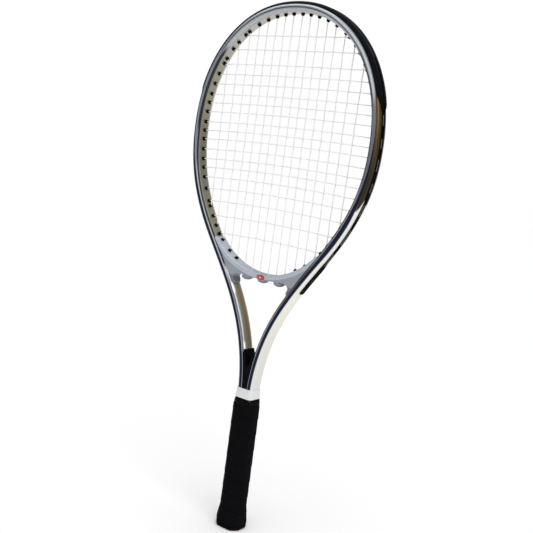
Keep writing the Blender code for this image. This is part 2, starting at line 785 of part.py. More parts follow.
def butt_cap(finish, nails, plug):
    inside = octagon(PALLET_OCTAGON, GAP)
    rim = octagon(WRAP_FLARE)
    rim_bottom = octagon(WRAP_FLARE, -0.0012)
    flare = octagon(CAP_FLARE)
    outer = [(0.0, rim_bottom), (0.0012, rim), (CAP_RIM_Z, rim), (CAP_RIM_Z, flare), (FLARE_Z, flare)]
    outer.append((CAP_TOP_Z, octagon(skirt_octagon(CAP_TOP_Z))))
    rings = outer + [(CAP_TOP_Z, inside), (CAP_FLOOR_Z, inside)]
    vertices, faces = [], []
    for z, points in rings:
        vertices.extend((x, y, z) for x, y in points)
    size = len(inside)
    for ring in range(len(rings) - 1):
        base = ring * size
        for i in range(size):
            j = (i + 1) % size
            faces.append((base + i, base + j, base + size + j, base + size + i))
    faces.append(tuple(range(size)))
    faces.append(tuple(range(len(vertices) - size, len(vertices))))
    cap = mesh_object("butt_cap", vertices, faces, finish)
    boolean(cap, nails, "DIFFERENCE")
    boolean(cap, plug, "DIFFERENCE")
    return cap


def plug_shape(grow):
    """A rounded oblong lid, flush with the butt cap's end, with a lip inside it."""
    rings = []
    for z, extra in ((-10 * grow, 0.0), (0.0014, 0.0), (0.0014, -0.0012), (CAP_FLOOR_Z + 0.001 + grow, -0.0012)):
        width, depth = (half + extra + grow for half in PLUG_HALF_SIZE)
        rings.append((z, octagon((width, depth, 0.002))))
    vertices = [(x, y, z) for z, points in rings for x, y in points]
    size = 8
    faces = [tuple(range(size)), tuple(range(len(vertices) - size, len(vertices)))]
    for ring in range(len(rings) - 1):
        base = ring * size
        for i in range(size):
            j = (i + 1) % size
            faces.append((base + i, base + j, base + size + j, base + size + i))
    return vertices, faces


def grip_wrap(finish):
    """The cushioned wrap as one sleeve, flared over the butt cap and necked at its top end."""
    over_cap = octagon(CAP_FLARE, GAP)
    over_skirt = octagon(skirt_octagon(CAP_TOP_Z), GAP)
    over_pallet = octagon(PALLET_OCTAGON, GAP)
    t = (WRAP_TOP_Z - PALLET_TAPER_Z) / (PALLET_TOP_Z - PALLET_TAPER_Z)
    at_top = tuple(a + (b - a) * t for a, b in zip(PALLET_OCTAGON, PALLET_NECK))
    outer = [
        (WRAP_BOTTOM_Z, octagon(WRAP_FLARE)), (FLARE_Z, octagon(WRAP_FLARE)),
        (FLARE_TOP_Z, octagon(WRAP_OCTAGON)), (PALLET_TAPER_Z, octagon(WRAP_OCTAGON)),
        (WRAP_TOP_Z, octagon(at_top, WRAP_END_THICKNESS)),
    ]
    inner = [
        (WRAP_BOTTOM_Z, over_cap), (FLARE_Z, over_cap),
        (CAP_TOP_Z, over_skirt), (CAP_TOP_Z + GAP, over_pallet), (PALLET_TAPER_Z, over_pallet),
        (WRAP_TOP_Z, octagon(at_top, GAP)),
    ]
    return sleeve("grip_wrap", outer, inner, finish)


def finishing_tape(finish):
    """The tape that ends the wrap, on the pallet's neck under the collar."""
    bottom = WRAP_TOP_Z + GAP
    rings = []
    for z in (bottom, PALLET_TOP_Z):
        t = (z - PALLET_TAPER_Z) / (PALLET_TOP_Z - PALLET_TAPER_Z)
        rings.append((z, tuple(a + (b - a) * t for a, b in zip(PALLET_OCTAGON, PALLET_NECK))))
    outer = [(z, octagon(shape, TAPE_THICKNESS)) for z, shape in rings]
    inner = [(z, octagon(shape, GAP)) for z, shape in rings]
    return sleeve("finishing_tape", outer, inner, finish)


def grip_collar(finish):
    """The rubber collar round both shafts, over the top of the handle."""
    outer, inner = [], []
    for z, thickness in ((COLLAR_BOTTOM_Z, 0.0016), (COLLAR_TOP_Z, 0.0009)):
        width = beside(place_at_height(z), TUBE_WIDTH / 2).x + GAP
        depth = TUBE_DEPTH / 2 + GAP
        inner.append((z, octagon((width, depth, 0.0019))))
        outer.append((z, octagon((width + thickness, depth + thickness, 0.0028))))
    return sleeve("grip_collar", outer, inner, finish)


def build():
    clear_scene()
    silver = material("silver_paint", (0.62, 0.65, 0.70), 0.28, 0.8)
    grey = material("grey_moulding", (0.46, 0.50, 0.57), 0.38)
    black = material("black_moulding", (0.012, 0.012, 0.014), 0.3)
    nylon = material("clear_nylon", (0.86, 0.86, 0.84), 0.3)
    red = material("red_badge", (0.62, 0.02, 0.04), 0.25)
    tan = material("pallet_plastic", (0.35, 0.32, 0.27), 0.6)
    steel = material("bright_steel", (0.6, 0.6, 0.6), 0.3, 1.0)
    wrap = material("black_wrap", (0.015, 0.015, 0.017), 0.75)
    white = material("white_rubber", (0.78, 0.78, 0.77), 0.5)

    pin_holes = cutter("pin_holes", *joined(pin_shapes(GAP).values()))
    nail_holes = cutter("nail_holes", *joined(nail_shapes(GAP).values()))
    plug_hole = cutter("plug_hole", *plug_shape(GAP))
    # The cut pieces are finished before the rings that the tube's own cuts need.
    around = [-FULL_LENGTH, *frame_rings(-CURVE_LENGTH, CURVE_LENGTH), FULL_LENGTH]
    clearance = swept("tube_clearance", around, lambda s: tube_section(GAP), make=cutter)

    frame_tube(silver, pin_holes)
    bumper_guard(black)
    grommet_strip("left_grommet_strip", -1, black)
    grommet_strip("right_grommet_strip", 1, black)
    strings("main_strings", main_path(), nylon)
    strings("cross_strings", cross_path(), nylon)
    throat_bridge(grey, clearance)
    bridge_badge(red)
    throat_insert(black, clearance)
    pallet_half("handle_pallet_front", -1, tan, pin_holes, nail_holes)
    pallet_half("handle_pallet_back", 1, tan, pin_holes, nail_holes)
    fasteners(pin_shapes(0.0), steel)
    butt_cap(black, nail_holes, plug_hole)
    fasteners(nail_shapes(0.0), steel)
    mesh_object("butt_plug", *plug_shape(0.0), black)
    grip_wrap(wrap)
    finishing_tape(black)
    grip_collar(white)


build()
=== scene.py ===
"""The looks of the tennis racket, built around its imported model.

Metres, +Z up; the racket stands on its butt at z = 0 and its front faces -Y. A place
along the frame is its arc length from the top of the head, positive down the right.
"""

from math import cos, pi, radians, sin, sqrt

import bmesh
import bpy
import numpy as np
from mathutils import Matrix, Vector


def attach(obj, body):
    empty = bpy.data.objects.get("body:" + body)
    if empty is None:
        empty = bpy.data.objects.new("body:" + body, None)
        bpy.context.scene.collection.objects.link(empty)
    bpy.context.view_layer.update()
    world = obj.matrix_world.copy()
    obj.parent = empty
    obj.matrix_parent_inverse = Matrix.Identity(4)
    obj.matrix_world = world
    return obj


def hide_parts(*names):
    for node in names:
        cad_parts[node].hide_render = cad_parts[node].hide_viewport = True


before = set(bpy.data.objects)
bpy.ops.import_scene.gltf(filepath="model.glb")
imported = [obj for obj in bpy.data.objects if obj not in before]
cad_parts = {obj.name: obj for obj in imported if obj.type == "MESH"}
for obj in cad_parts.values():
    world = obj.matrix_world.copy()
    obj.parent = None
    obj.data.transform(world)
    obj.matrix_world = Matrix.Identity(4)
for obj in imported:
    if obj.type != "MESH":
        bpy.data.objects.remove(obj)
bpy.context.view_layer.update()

MM = 0.001

# The frame's centreline, as the CAD model has it.
HEAD_HALF_WIDTH = 0.1364
WIDEST_Z = 0.518
HEAD_TOP_Z = 0.6774
HEAD_POWER = 2.15
SHAFT_HALF_SPACING = 0.0060
HANDLE_TOP_Z = 0.1742
UPPER_HANDLE_LENGTH = 0.1463
LOWER_HANDLE_LENGTH = 0.1698
SHAFT_END_Z = 0.034

TUBE_HALF_WIDTH = 0.0056
TUBE_HALF_DEPTH = 0.0103
TUBE_CORNER = 0.0043

# Strings and their holes.
MAIN_TOPS = (0.0067, 0.0191, 0.0318, 0.0452, 0.0586, 0.0730, 0.0885, 0.1050)
MAIN_FEET = (0.0067, 0.0195, 0.0325, 0.0470, 0.0600, 0.0742, 0.0885, 0.1030)
TOP_CROSS_Z = 0.6426
CROSS_GAPS_MM = (
    18, 19, 13.5, 13, 13.5, 11.5, 12, 13.5, 11.5, 11.5, 13.5, 13, 11.5, 13, 15, 16.5, 19.5, 22.5)
TOP_BOW = 0.0007
BOW_GROWTH = 0.0034
BOW_HALF_WIDTH = 0.120
STRING_RADIUS = 0.00064
CROSS_WEAVE = 0.00100
MAIN_WEAVE = 0.00032
BARREL_REACH = 0.002
TIP_OUT = -(TUBE_HALF_WIDTH + BARREL_REACH)
LOOP_OUT = TUBE_HALF_WIDTH + 0.0006
LOOP_LANE = 0.0007
LOOP_STEP = 0.004
ENTRY = 0.0007  # how far beyond a barrel's end the woven part of a string begins
TIP_REACH = 0.0012  # how much further than the CAD's the barrels stand into the bed

# The bumper guard and the grommet strips.
BUMPER_HEIGHT = 0.0022
STRIP_HEIGHT = 0.0013
CHANNEL_HALF = 0.0017
STRIP_HALF_WIDTH = 0.0029
STRIP_END_Z = 0.331
STRIP_SWELL_S = 0.386
STRIP_SWELL_LENGTH = 0.013
BUMPER_HALF_WIDTH = 0.0071
BUMPER_WRAP = radians(58)
BUMPER_END_Z = 0.559
BUMPER_TAPER = 0.010
BUMPER_WRAP_LENGTH = 0.012

# The bridge.
BRIDGE_RADIUS = 0.105
BRIDGE_TOP_Z = 0.3425
BRIDGE_CENTRE_Z = BRIDGE_TOP_Z + BRIDGE_RADIUS
BRIDGE_LOOP_Z = 0.3340
ARM_TIP_Z = 0.379
MIDDLE_MAINS = 3  # main strings on each side that run through the bridge

# The handle.
WRAP_PITCH = 0.0215
WRAP_LOW_Z = 0.0049
WRAP_HIGH_Z = 0.1704


# ---------------------------------------------------------------- the frame's centreline

def centreline():
    """Arc length, x, z and outward normal of the right half, as dense arrays."""
    angle = np.linspace(0, pi / 2, 1501)
    power = 2 / HEAD_POWER
    x = HEAD_HALF_WIDTH * np.sin(angle) ** power
    z = WIDEST_Z + (HEAD_TOP_Z - WIDEST_Z) * np.abs(np.cos(angle)) ** power
    handles = np.array([
        (HEAD_HALF_WIDTH, WIDEST_Z),
        (HEAD_HALF_WIDTH, WIDEST_Z - UPPER_HANDLE_LENGTH),
        (SHAFT_HALF_SPACING, HANDLE_TOP_Z + LOWER_HANDLE_LENGTH),
        (SHAFT_HALF_SPACING, HANDLE_TOP_Z),
    ])
    t = np.linspace(0, 1, 1501)[1:, None]
    weights = np.hstack([(1 - t) ** 3, 3 * t * (1 - t) ** 2, 3 * t * t * (1 - t), t ** 3])
    curve = weights @ handles
    straight = np.linspace(HANDLE_TOP_Z, SHAFT_END_Z, 60)[1:]
    x = np.concatenate([x, curve[:, 0], np.full(len(straight), SHAFT_HALF_SPACING)])
    z = np.concatenate([z, curve[:, 1], straight])
    s = np.concatenate([[0], np.cumsum(np.hypot(np.diff(x), np.diff(z)))])
    dx, dz = np.gradient(x, s), np.gradient(z, s)
    length = np.hypot(dx, dz)
    normal_x, normal_z = -dz / length, dx / length
    normal_x[0], normal_z[0] = 0.0, 1.0
    return s, x, z, normal_x, normal_z


LINE = centreline()
FULL_LENGTH = LINE[0][-1]


def beside(s, out=0.0, depth=0.0):
    """Points out from the centreline at s, at a depth along Y. Takes numbers or arrays."""
    s, out, depth = np.broadcast_arrays(np.asarray(s, float), out, depth)
    side = np.where(s >= 0, 1.0, -1.0)
    x, z, normal_x, normal_z = (np.interp(np.abs(s), LINE[0], values) for values in LINE[1:])
    return np.stack([side * (x + normal_x * out), depth, z + normal_z * out], axis=-1)


def solve(function, low, high):
    """Where the function crosses zero between low and high."""
    rising = function(high) > 0
    for _ in range(46):
        middle = (low + high) / 2
        if (function(middle) > 0) == rising:
            high = middle
        else:
            low = middle
    return (low + high) / 2


def at_height(z, out=0.0):
    """The arc length at which the frame passes a height."""
    return solve(lambda s: beside(s, out)[2] - z, 0.02, FULL_LENGTH)


def eased(t):
    """t held between 0 and 1, starting and ending softly."""
    t = min(max(t, 0), 1)
    return t * t * (3 - 2 * t)


WIDEST_S = at_height(WIDEST_Z)
BUMPER_END_S = at_height(BUMPER_END_Z, TUBE_HALF_WIDTH)
STRIP_END_S = at_height(STRIP_END_Z)


# ---------------------------------------------------------------- meshes

def piece(name, vertices, faces, finish, slot, node=None, smooth_angle=35, attribute=None):
    """A closed mesh that rides on the racket, with its faces out, and stands for a CAD node."""
    mesh = bpy.data.meshes.new(name)
    mesh.from_pydata([tuple(v) for v in vertices], [], [tuple(f) for f in faces])
    if attribute is not None:
        layer = mesh.attributes.new("skin", "FLOAT_VECTOR", "POINT")
        layer.data.foreach_set("vector", np.asarray(attribute, float).ravel())
    build = bmesh.new()
    build.from_mesh(mesh)
    bmesh.ops.recalc_face_normals(build, faces=build.faces)
    build.to_mesh(mesh)
    build.free()
    mesh.shade_smooth()
    mesh.set_sharp_from_angle(angle=radians(smooth_angle))
    made = bpy.data.objects.new(name, mesh)
    bpy.context.scene.collection.objects.link(made)
    mesh.materials.append(finish)
    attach(made, "root")
    if node:
        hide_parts(node)
    return made


def lofted(rings, wrap=False):
    """Points and faces of a skin over rings of equal size, with both ends closed unless it wraps."""
    rings = np.asarray(rings, float)
    count, size = rings.shape[:2]
    i = np.arange(size)
    j = (i + 1) % size
    faces = []
    for ring in range(count if wrap else count - 1):
        base, following = ring * size, (ring + 1) % count * size
        faces += np.stack([base + i, base + j, following + j, following + i], axis=1).tolist()
    if not wrap:
        faces.append(list(range(size)))
        faces.append(list(range((count - 1) * size, count * size)))
    return rings.reshape(-1, 3), faces


def merged(shapes):
    """Several shapes as one."""
    vertices, faces, base = [], [], 0
    for points, sides in shapes:
        vertices.append(np.asarray(points, float))
        faces += [[base + i for i in side] for side in sides]
        base += len(points)
    return np.concatenate(vertices), faces


def rounded_box(half_x, half_y, radius, per_corner, per_side):
    """Outline points of a rounded rectangle, as (first, second) coordinates."""
    corners = ((1, -1), (1, 1), (-1, 1), (-1, -1))

    def on_corner(k, angle):
        a, b = corners[k % 4]
        return np.array((
            a * (half_x - radius) + radius * cos(angle), b * (half_y - radius) + radius * sin(angle)))

    points = []
    for k in range(4):
        start = (k - 1) * pi / 2
        points += [on_corner(k, start + pi / 2 * i / per_corner) for i in range(per_corner + 1)]
        last, following = points[-1], on_corner(k + 1, start + pi / 2)
        points += [last + (following - last) * (i / (per_side + 1)) for i in range(1, per_side + 1)]
    return np.array(points)


def level(outline, z):
    """The outline as a flat ring at a height."""
    return np.column_stack([outline, np.full(len(outline), z)])


def swept(stations, section_at):
    """Rings along the frame; section_at(s) gives (out, depth) points. Also the skin attribute."""
    rings, skin = [], []
    for s in stations:
        section = section_at(s)
        rings.append(beside(s, section[:, 0], section[:, 1]))
        skin.append(np.column_stack([np.full(len(section), s), section[:, 0], section[:, 1]]))
    return rings, np.concatenate(skin)


def cord(path, radius, sides=8):
    """A round tube along a path, whose fourth value becomes the skin's first, and that skin."""
    path = np.asarray(path, float)
    skin = np.repeat(np.column_stack([path[:, 3], np.zeros((len(path), 2))]), sides, axis=0)
    path = path[:, :3]
    tangent = np.gradient(path, axis=0)
    tangent /= np.linalg.norm(tangent, axis=1)[:, None]
    across = np.cross(tangent[0], (0.0, 1.0, 0.0))
    across /= np.linalg.norm(across)
    turns = np.linspace(0, 2 * pi, sides, endpoint=False)
    rings = []
    for point, along in zip(path, tangent):
        across = across - along * across.dot(along)
        across /= np.linalg.norm(across)
        up = np.cross(along, across)
        rings.append(point + radius * (np.cos(turns)[:, None] * across + np.sin(turns)[:, None] * up))
    return lofted(rings), skin


def rounded_path(points, passes=2):
    """The path with its corners cut, keeping both ends."""
    points = np.asarray(points, float)
    for _ in range(passes):
        first, last = points[:1], points[-1:]
        near = points[:-1] * 0.75 + points[1:] * 0.25
        far = points[:-1] * 0.25 + points[1:] * 0.75
        points = np.concatenate([first, np.stack([near, far], axis=1).reshape(-1, points.shape[1]), last])
    return points


# ---------------------------------------------------------------- materials

class Nodes:
    """A node tree and short ways to add to it."""

    def __init__(self, tree):
        self.tree = tree

    def node(self, kind, **settings):
        made = self.tree.nodes.new(kind)
        for key, value in settings.items():
            setattr(made, key, value)
        return made

    def put(self, socket, value):
        """Links or sets a socket."""
        if isinstance(value, bpy.types.NodeSocket):
            self.tree.links.new(value, socket)
        elif socket.type == "RGBA":
            socket.default_value = (*value, 1)
        else:
            socket.default_value = value

    def math(self, operation, *values, clamp=False):
        made = self.node("ShaderNodeMath", operation=operation, use_clamp=clamp)
        for socket, value in zip(made.inputs, values):
            self.put(socket, value)
        return made.outputs[0]

    def plus(self, first, second):
        return self.math("ADD", first, second)

    def minus(self, first, second):
        return self.math("SUBTRACT", first, second)

    def times(self, *values):
        result = values[0]
        for value in values[1:]:
            result = self.math("MULTIPLY", result, value)
        return result

    def length(self, x, y):
        return self.math("SQRT", self.plus(self.times(x, x), self.times(y, y)))

    def step(self, value, low, high):
        """Rises smoothly from 0 to 1 as value goes from low to high (falls if low > high)."""
        made = self.node("ShaderNodeMapRange", interpolation_type="SMOOTHSTEP")
        if isinstance(low, (int, float)) and isinstance(high, (int, float)) and low > high:
            limits = (high, low, 1.0, 0.0)
        else:
            limits = (low, high, 0.0, 1.0)
        for name, limit in zip(("Value", "From Min", "From Max", "To Min", "To Max"), (value, *limits)):
            self.put(made.inputs[name], limit)
        return made.outputs["Result"]

    def band(self, value, low, high, blur):
        """1 between low and high, and 0 beyond them."""
        rise = self.step(value, low - blur, low + blur)
        fall = self.step(value, high + blur, high - blur)
        return self.times(rise, fall)

    def mix(self, factor, first, second):
        """The first colour where the factor is 0, the second where it is 1."""
        made = self.node("ShaderNodeMix", data_type="RGBA")
        for socket, value in ((0, factor), (6, first), (7, second)):
            self.put(made.inputs[socket], value)
        return made.outputs[2]

    def over(self, color, *layers):
        """The colour with (mask, colour) layers laid over it in turn."""
        for mask, layer in layers:
            color = self.mix(mask, color, layer)
        return color

    def blend(self, factor, first, second):
        """As mix, for plain numbers."""
        made = self.node("ShaderNodeMix", data_type="FLOAT")
        for socket, value in ((0, factor), (2, first), (3, second)):
            self.put(made.inputs[socket], value)
        return made.outputs[0]

    def split(self, vector):
        made = self.node("ShaderNodeSeparateXYZ")
        self.put(made.inputs[0], vector)
        return tuple(made.outputs)


class Paint(Nodes):
    """A Principled material."""

    def __init__(self, name, coat=0.0, coat_rough=0.1, specular=0.5):
        self.material = bpy.data.materials.new(name)
        self.material.use_nodes = True
        super().__init__(self.material.node_tree)
        self.shader = self.tree.nodes["Principled BSDF"]
        self.set("Coat Weight", coat)
        self.set("Coat Roughness", coat_rough)
        self.set("Specular IOR Level", specular)

    def set(self, name, value):
        self.put(self.shader.inputs[name], value)

    def finish(self, color, rough, metallic=0.0):
        self.set("Base Color", color)
        self.set("Roughness", rough)
        self.set("Metallic", metallic)
        return self.material

    def position(self):
        return self.node("ShaderNodeTexCoord").outputs["Object"]

    def skin(self):
        """The three values that a piece's points carry, and the same as a vector.

        On the swept pieces they are (arc length, out, depth), and on the strings the first
        is 1 outside the frame. The wrap and the badge each say what theirs are.
        """
        vector = self.node("ShaderNodeAttribute", attribute_name="skin").outputs["Vector"]
        return (*self.split(vector), vector)

    def noise(self, scale, detail, vector=None, stretch=None):
        vector = vector or self.position()
        if stretch:
            mapping = self.node("ShaderNodeMapping")
            self.put(mapping.inputs["Vector"], vector)
            self.put(mapping.inputs["Scale"], stretch)
            vector = mapping.outputs["Vector"]
        made = self.node("ShaderNodeTexNoise")
        for name, value in (("Vector", vector), ("Scale", scale), ("Detail", detail)):
            self.put(made.inputs[name], value)
        return made.outputs["Fac"]

    def bump(self, height, distance, strength):
        made = self.node("ShaderNodeBump")
        for name, value in (("Distance", distance), ("Strength", strength), ("Height", height)):
            self.put(made.inputs[name], value)
        self.set("Normal", made.outputs["Normal"])


def frame_paint():
    """Silver lacquer with a navy line, bronze and cream side panels and a champagne inside, with painted
    highlights, reflections and shade over them.

    Lengths in this material are in millimetres.
    """
    p = Paint("frame_lacquer", coat=0.05, coat_rough=0.08, specular=0.08)
    signed, out, depth, vector = p.skin()
    signed, out, depth = (p.times(value, 1 / MM) for value in (signed, out, depth))
    s = p.math("ABSOLUTE", signed)
    right = p.step(signed, -60, 60)
    away = p.math("ABSOLUTE", depth)
    grain = p.noise(1.0, 4, vector, stretch=(120, 900, 900))
    cloud = p.noise(1.0, 3, vector, stretch=(14, 160, 160))
    on_face = p.step(away, 5.5, 7.0)

    # The front and back faces: silver, with painted shade down the sides and low on the throat, heavier on
    # the right, and nearly black beside the insert.
    silver = p.mix(grain, (0.29, 0.325, 0.385), (0.40, 0.44, 0.51))
    slate = p.mix(grain, (0.14, 0.15, 0.17), (0.20, 0.21, 0.235))
    umber = p.mix(grain, (0.10, 0.095, 0.09), (0.16, 0.15, 0.14))
    side_shade = p.times(p.step(s, 120, 270), p.plus(0.1, p.times(right, 0.8)))
    low_shade = p.times(p.step(s, 330, 450), p.plus(0.45, p.times(right, 0.55)))
    color = p.over(silver, (side_shade, slate), (low_shade, umber), (p.step(s, 520, 590), (0.012, 0.011, 0.011)))

    # Painted reflections over the top: a dark line parts the lighter inner half from a bright highlight band,
    # and both drift inwards. Below them, painted dark reflections lie along the right outer corner and down
    # the left, with painted shade on the upper left and painted glints low on both sides.
    light = p.times(p.step(out, -0.6, -1.2), p.band(signed, -118, 70, 12))
    drift = p.times(p.step(signed, 0, 105), 2.4)
    dark_line = p.times(p.band(p.plus(out, drift), -0.7, 0.4, 0.35), p.band(signed, -125, 190, 12), 0.85)
    bright_drift = p.times(p.step(signed, 15, 90), 2.4)
    bright = p.times(
        p.band(p.plus(out, bright_drift), 1.5, 4.2, 0.35),
        p.step(signed, -125, -40), p.step(signed, 192, 168))
    corner = p.times(p.step(out, 2.6, 3.1), p.band(signed, 35, 188, 10))
    shade = p.times(p.step(out, -1.2, -2.0), p.band(signed, -236, -124, 10))
    gleam = p.times(p.band(out, -4.3, -1.7, 0.6), p.band(signed, -450, -285, 14), 0.9)
    right_gleam = p.times(p.band(out, -4.5, -1.6, 0.6), p.band(signed, 285, 400, 14), 0.6)
    left_line = p.times(p.band(out, 0.6, 1.7, 0.3), p.band(signed, -460, -262, 14))
    for mask, tone in (
            (light, (0.42, 0.45, 0.49)), (dark_line, (0.035, 0.04, 0.06)), (bright, (0.92, 0.95, 0.99)),
            (corner, (0.012, 0.014, 0.022)), (shade, (0.035, 0.036, 0.042)), (gleam, (0.86, 0.90, 0.95)),
            (right_gleam, (0.50, 0.52, 0.56)), (left_line, (0.03, 0.035, 0.05))):
        color = p.mix(p.times(mask, on_face), color, tone)

    # The inside: champagne, streaked along, with a dark front corner and a light back one. Low down, a pale
    # streak and bright glints are painted reflections, and the dark front corner is a painted dark
    # reflection.
    inside = p.step(out, -3.6, -4.6)
    wander = p.plus(depth, p.times(p.minus(cloud, 0.5), 9.0))
    grey = p.mix(cloud, (0.50, 0.49, 0.46), (0.42, 0.41, 0.37))
    olive = p.mix(cloud, (0.24, 0.225, 0.16), (0.36, 0.33, 0.25))
    on_shaft = p.step(s, 425, 445)
    bronze_streak = p.times(p.band(wander, -1.5, 3.0, 1.6), on_shaft)
    front_streak = p.times(p.band(wander, -12.0, -6.2, 1.2), on_shaft, 0.6)
    glints = p.math("MAXIMUM", p.band(s, 458, 470, 4), p.band(s, 535, 545, 4))
    glints = p.times(glints, p.step(depth, -5.6, -6.6))
    champagne = p.over(
        grey, (p.step(s, 95, 170), olive), (bronze_streak, (0.30, 0.20, 0.08)),
        (front_streak, (0.46, 0.48, 0.52)), (glints, (0.92, 0.93, 0.95)),
        (p.step(depth, 4.6, 7.0), (0.60, 0.59, 0.56)))
    edge = p.times(
        p.band(out, -5.0, -3.0, 0.35), p.step(depth, -5.5, -7.0), p.step(s, 440, 425), p.step(s, 112, 130))
    color = p.over(color, (inside, champagne), (edge, (0.03, 0.033, 0.042)))

    # The outer side: a bronze panel under the bumper guard, then cream to the collar, with painted shade
    # along the cream's back edge.
    outer = p.step(out, 1.8, 2.2)
    slant = p.minus(s, p.times(away, 2.6))
    bronze = p.mix(cloud, (0.088, 0.058, 0.020), (0.15, 0.105, 0.042))
    bronze = p.mix(p.step(s, 205, 275), bronze, (0.035, 0.026, 0.013))
    navy_start = p.step(s, 215, 330)
    above_low = p.minus(out, p.minus(1.7, p.times(navy_start, 2.9)))
    high = p.plus(p.plus(2.5, p.times(navy_start, 0.4)), p.band(s, 310, 385, 25))
    beyond = p.minus(out, high)
    cream_mask = p.times(p.step(beyond, 0.0, 0.25), p.step(slant, 288, 291))
    cream = p.over(
        p.mix(grain, (0.80, 0.785, 0.70), (0.86, 0.845, 0.77)), (p.step(s, 440, 600), (0.70, 0.69, 0.65)),
        (p.times(p.step(depth, 6.6, 8.2), 0.7), (0.36, 0.36, 0.37)))
    off_centre = p.step(away, 4.0, 5.0)
    line = p.times(p.step(above_low, -0.1, 0.1), p.step(beyond, 0.1, -0.1), off_centre, p.step(s, 195, 235))
    blue = p.times(p.band(beyond, 0.05, 0.6, 0.12), off_centre, p.step(s, 300, 330))
    inner_line = p.times(p.band(above_low, -1.0, -0.25, 0.15), on_face, p.step(s, 430, 500))
    color = p.over(
        color, (p.times(outer, p.step(s, 172, 184)), bronze), (cream_mask, cream),
        (line, (0.006, 0.009, 0.026)), (blue, (0.42, 0.49, 0.60)), (inner_line, (0.36, 0.39, 0.44)))

    plain = p.math("MAXIMUM", cream_mask, p.math("MAXIMUM", line, blue))
    metal = p.times(p.math("SUBTRACT", 1.0, plain, clamp=True), 0.62)
    p.bump(p.noise(1.0, 2, vector, stretch=(500, 900, 900)), 0.00002, 0.5)
    return p.finish(color, p.blend(grain, 0.26, 0.38), metal)


def nylon_paint(name, base, rough):
    """Matte moulded nylon, with a painted highlight as a pale line down the guard's right side, towards its
    back edge.
    """
    p = Paint(name, specular=0.03)
    place, out, depth, _ = p.skin()
    mottle = p.noise(180, 4)
    fine = p.noise(1600, 3)
    pale = tuple(c * 1.6 + 0.001 for c in base)
    # painted highlight along the guard's right side, towards its back edge
    guard_highlight = p.times(
        p.band(depth, 0.0046, 0.0056, 0.0004),
        p.step(out, TUBE_HALF_WIDTH + 0.0008, TUBE_HALF_WIDTH + 0.0014),
        p.step(place, 0.02, 0.07), p.step(place, 0.185, 0.165), 0.55)
    color = p.over(base, (p.step(mottle, 0.45, 0.75), pale), (guard_highlight, (0.14, 0.17, 0.22)))
    p.bump(fine, 0.00006, 0.6)
    return p.finish(color, p.blend(fine, rough - 0.08, rough + 0.12))


def bridge_paint():
    """Grey moulding with fine flakes, paler along its rim, and with painted shade under its humps."""
    p = Paint("bridge_moulding", coat=0.25, coat_rough=0.2)
    x, _, z = p.split(p.position())
    mottle = p.noise(60, 4)
    flake = p.noise(3000, 2)
    radius = p.length(p.minus(BRIDGE_CENTRE_Z, z), x)
    color = p.over(
        p.mix(mottle, (0.255, 0.28, 0.325), (0.31, 0.335, 0.385)),
        (p.step(radius, BRIDGE_RADIUS + 0.0062, BRIDGE_RADIUS + 0.0056),
         p.mix(mottle, (0.40, 0.44, 0.50), (0.46, 0.50, 0.565))),
        (p.times(p.step(flake, 0.60, 0.68), 0.35), (0.60, 0.64, 0.70)),
        # painted shade under the humps, darker towards the bottom
        (p.step(z, 0.3352, 0.3322), (0.15, 0.165, 0.185)))
    p.bump(flake, 0.00003, 0.4)
    return p.finish(color, p.blend(mottle, 0.32, 0.44), 0.25)


def string_paint():
    """White nylon, and a dull grey painted shade where the string lies in the outer groove."""
    p = Paint("string_nylon", coat=0.4, coat_rough=0.12)
    tone = p.noise(90, 3)
    outer = p.skin()[0]
    white = p.mix(tone, (0.78, 0.78, 0.78), (0.88, 0.88, 0.87))
    p.set("Subsurface Weight", 0.15)
    p.set("Subsurface Radius", (0.001, 0.001, 0.001))
    return p.finish(p.mix(outer, white, (0.09, 0.09, 0.095)), p.blend(tone, 0.24, 0.36))


def gloss_black(name):
    p = Paint(name, specular=0.03)
    tone = p.noise(140, 4)
    p.bump(p.noise(900, 2), 0.00003, 0.5)
    return p.finish(p.mix(tone, (0.0015, 0.0015, 0.002), (0.004, 0.004, 0.005)), p.blend(tone, 0.18, 0.34))


def wrap_paint():
    """Soft black grip with rows of small holes. Its skin is (along, across the wrap, seam)."""
    p = Paint("grip_wrap_skin", specular=0.03)
    along, across, dark_line, _ = p.skin()
    weave = p.noise(2600, 3)
    tone = p.noise(70, 4)
    row = p.times(across, 1 / 0.0031)
    shift = p.times(p.math("ROUND", row), 0.5)
    hole_along = p.minus(p.math("FRACT", p.plus(p.times(along, 1 / 0.0046), shift)), 0.5)
    hole_across = p.minus(p.math("FRACT", p.plus(row, 0.5)), 0.5)
    dots = p.step(p.length(hole_along, hole_across), 0.20, 0.13)
    color = p.over(
        p.mix(tone, (0.0020, 0.0021, 0.0027), (0.0045, 0.0047, 0.0056)),
        (p.step(weave, 0.62, 0.75), (0.008, 0.008, 0.009)), (dark_line, (0.0015, 0.0015, 0.002)),
        (dots, (0.001, 0.001, 0.001)))
    p.bump(p.minus(p.times(weave, 0.35), dots), 0.00022, 0.9)
    return p.finish(color, p.blend(tone, 0.64, 0.82))


def collar_paint():
    """Pale rubber, with a painted bluish highlight on its top lip."""
    p = Paint("collar_rubber", coat=0.1, coat_rough=0.3)
    tone = p.noise(110, 4)
    z = p.split(p.position())[2]
    color = p.over(
        p.mix(tone, (0.66, 0.67, 0.665), (0.75, 0.76, 0.75)), (p.step(z, 0.1893, 0.1900), (0.62, 0.69, 0.78)))
    p.bump(p.noise(1400, 3), 0.00004, 0.6)
    return p.finish(color, p.blend(tone, 0.40, 0.56))


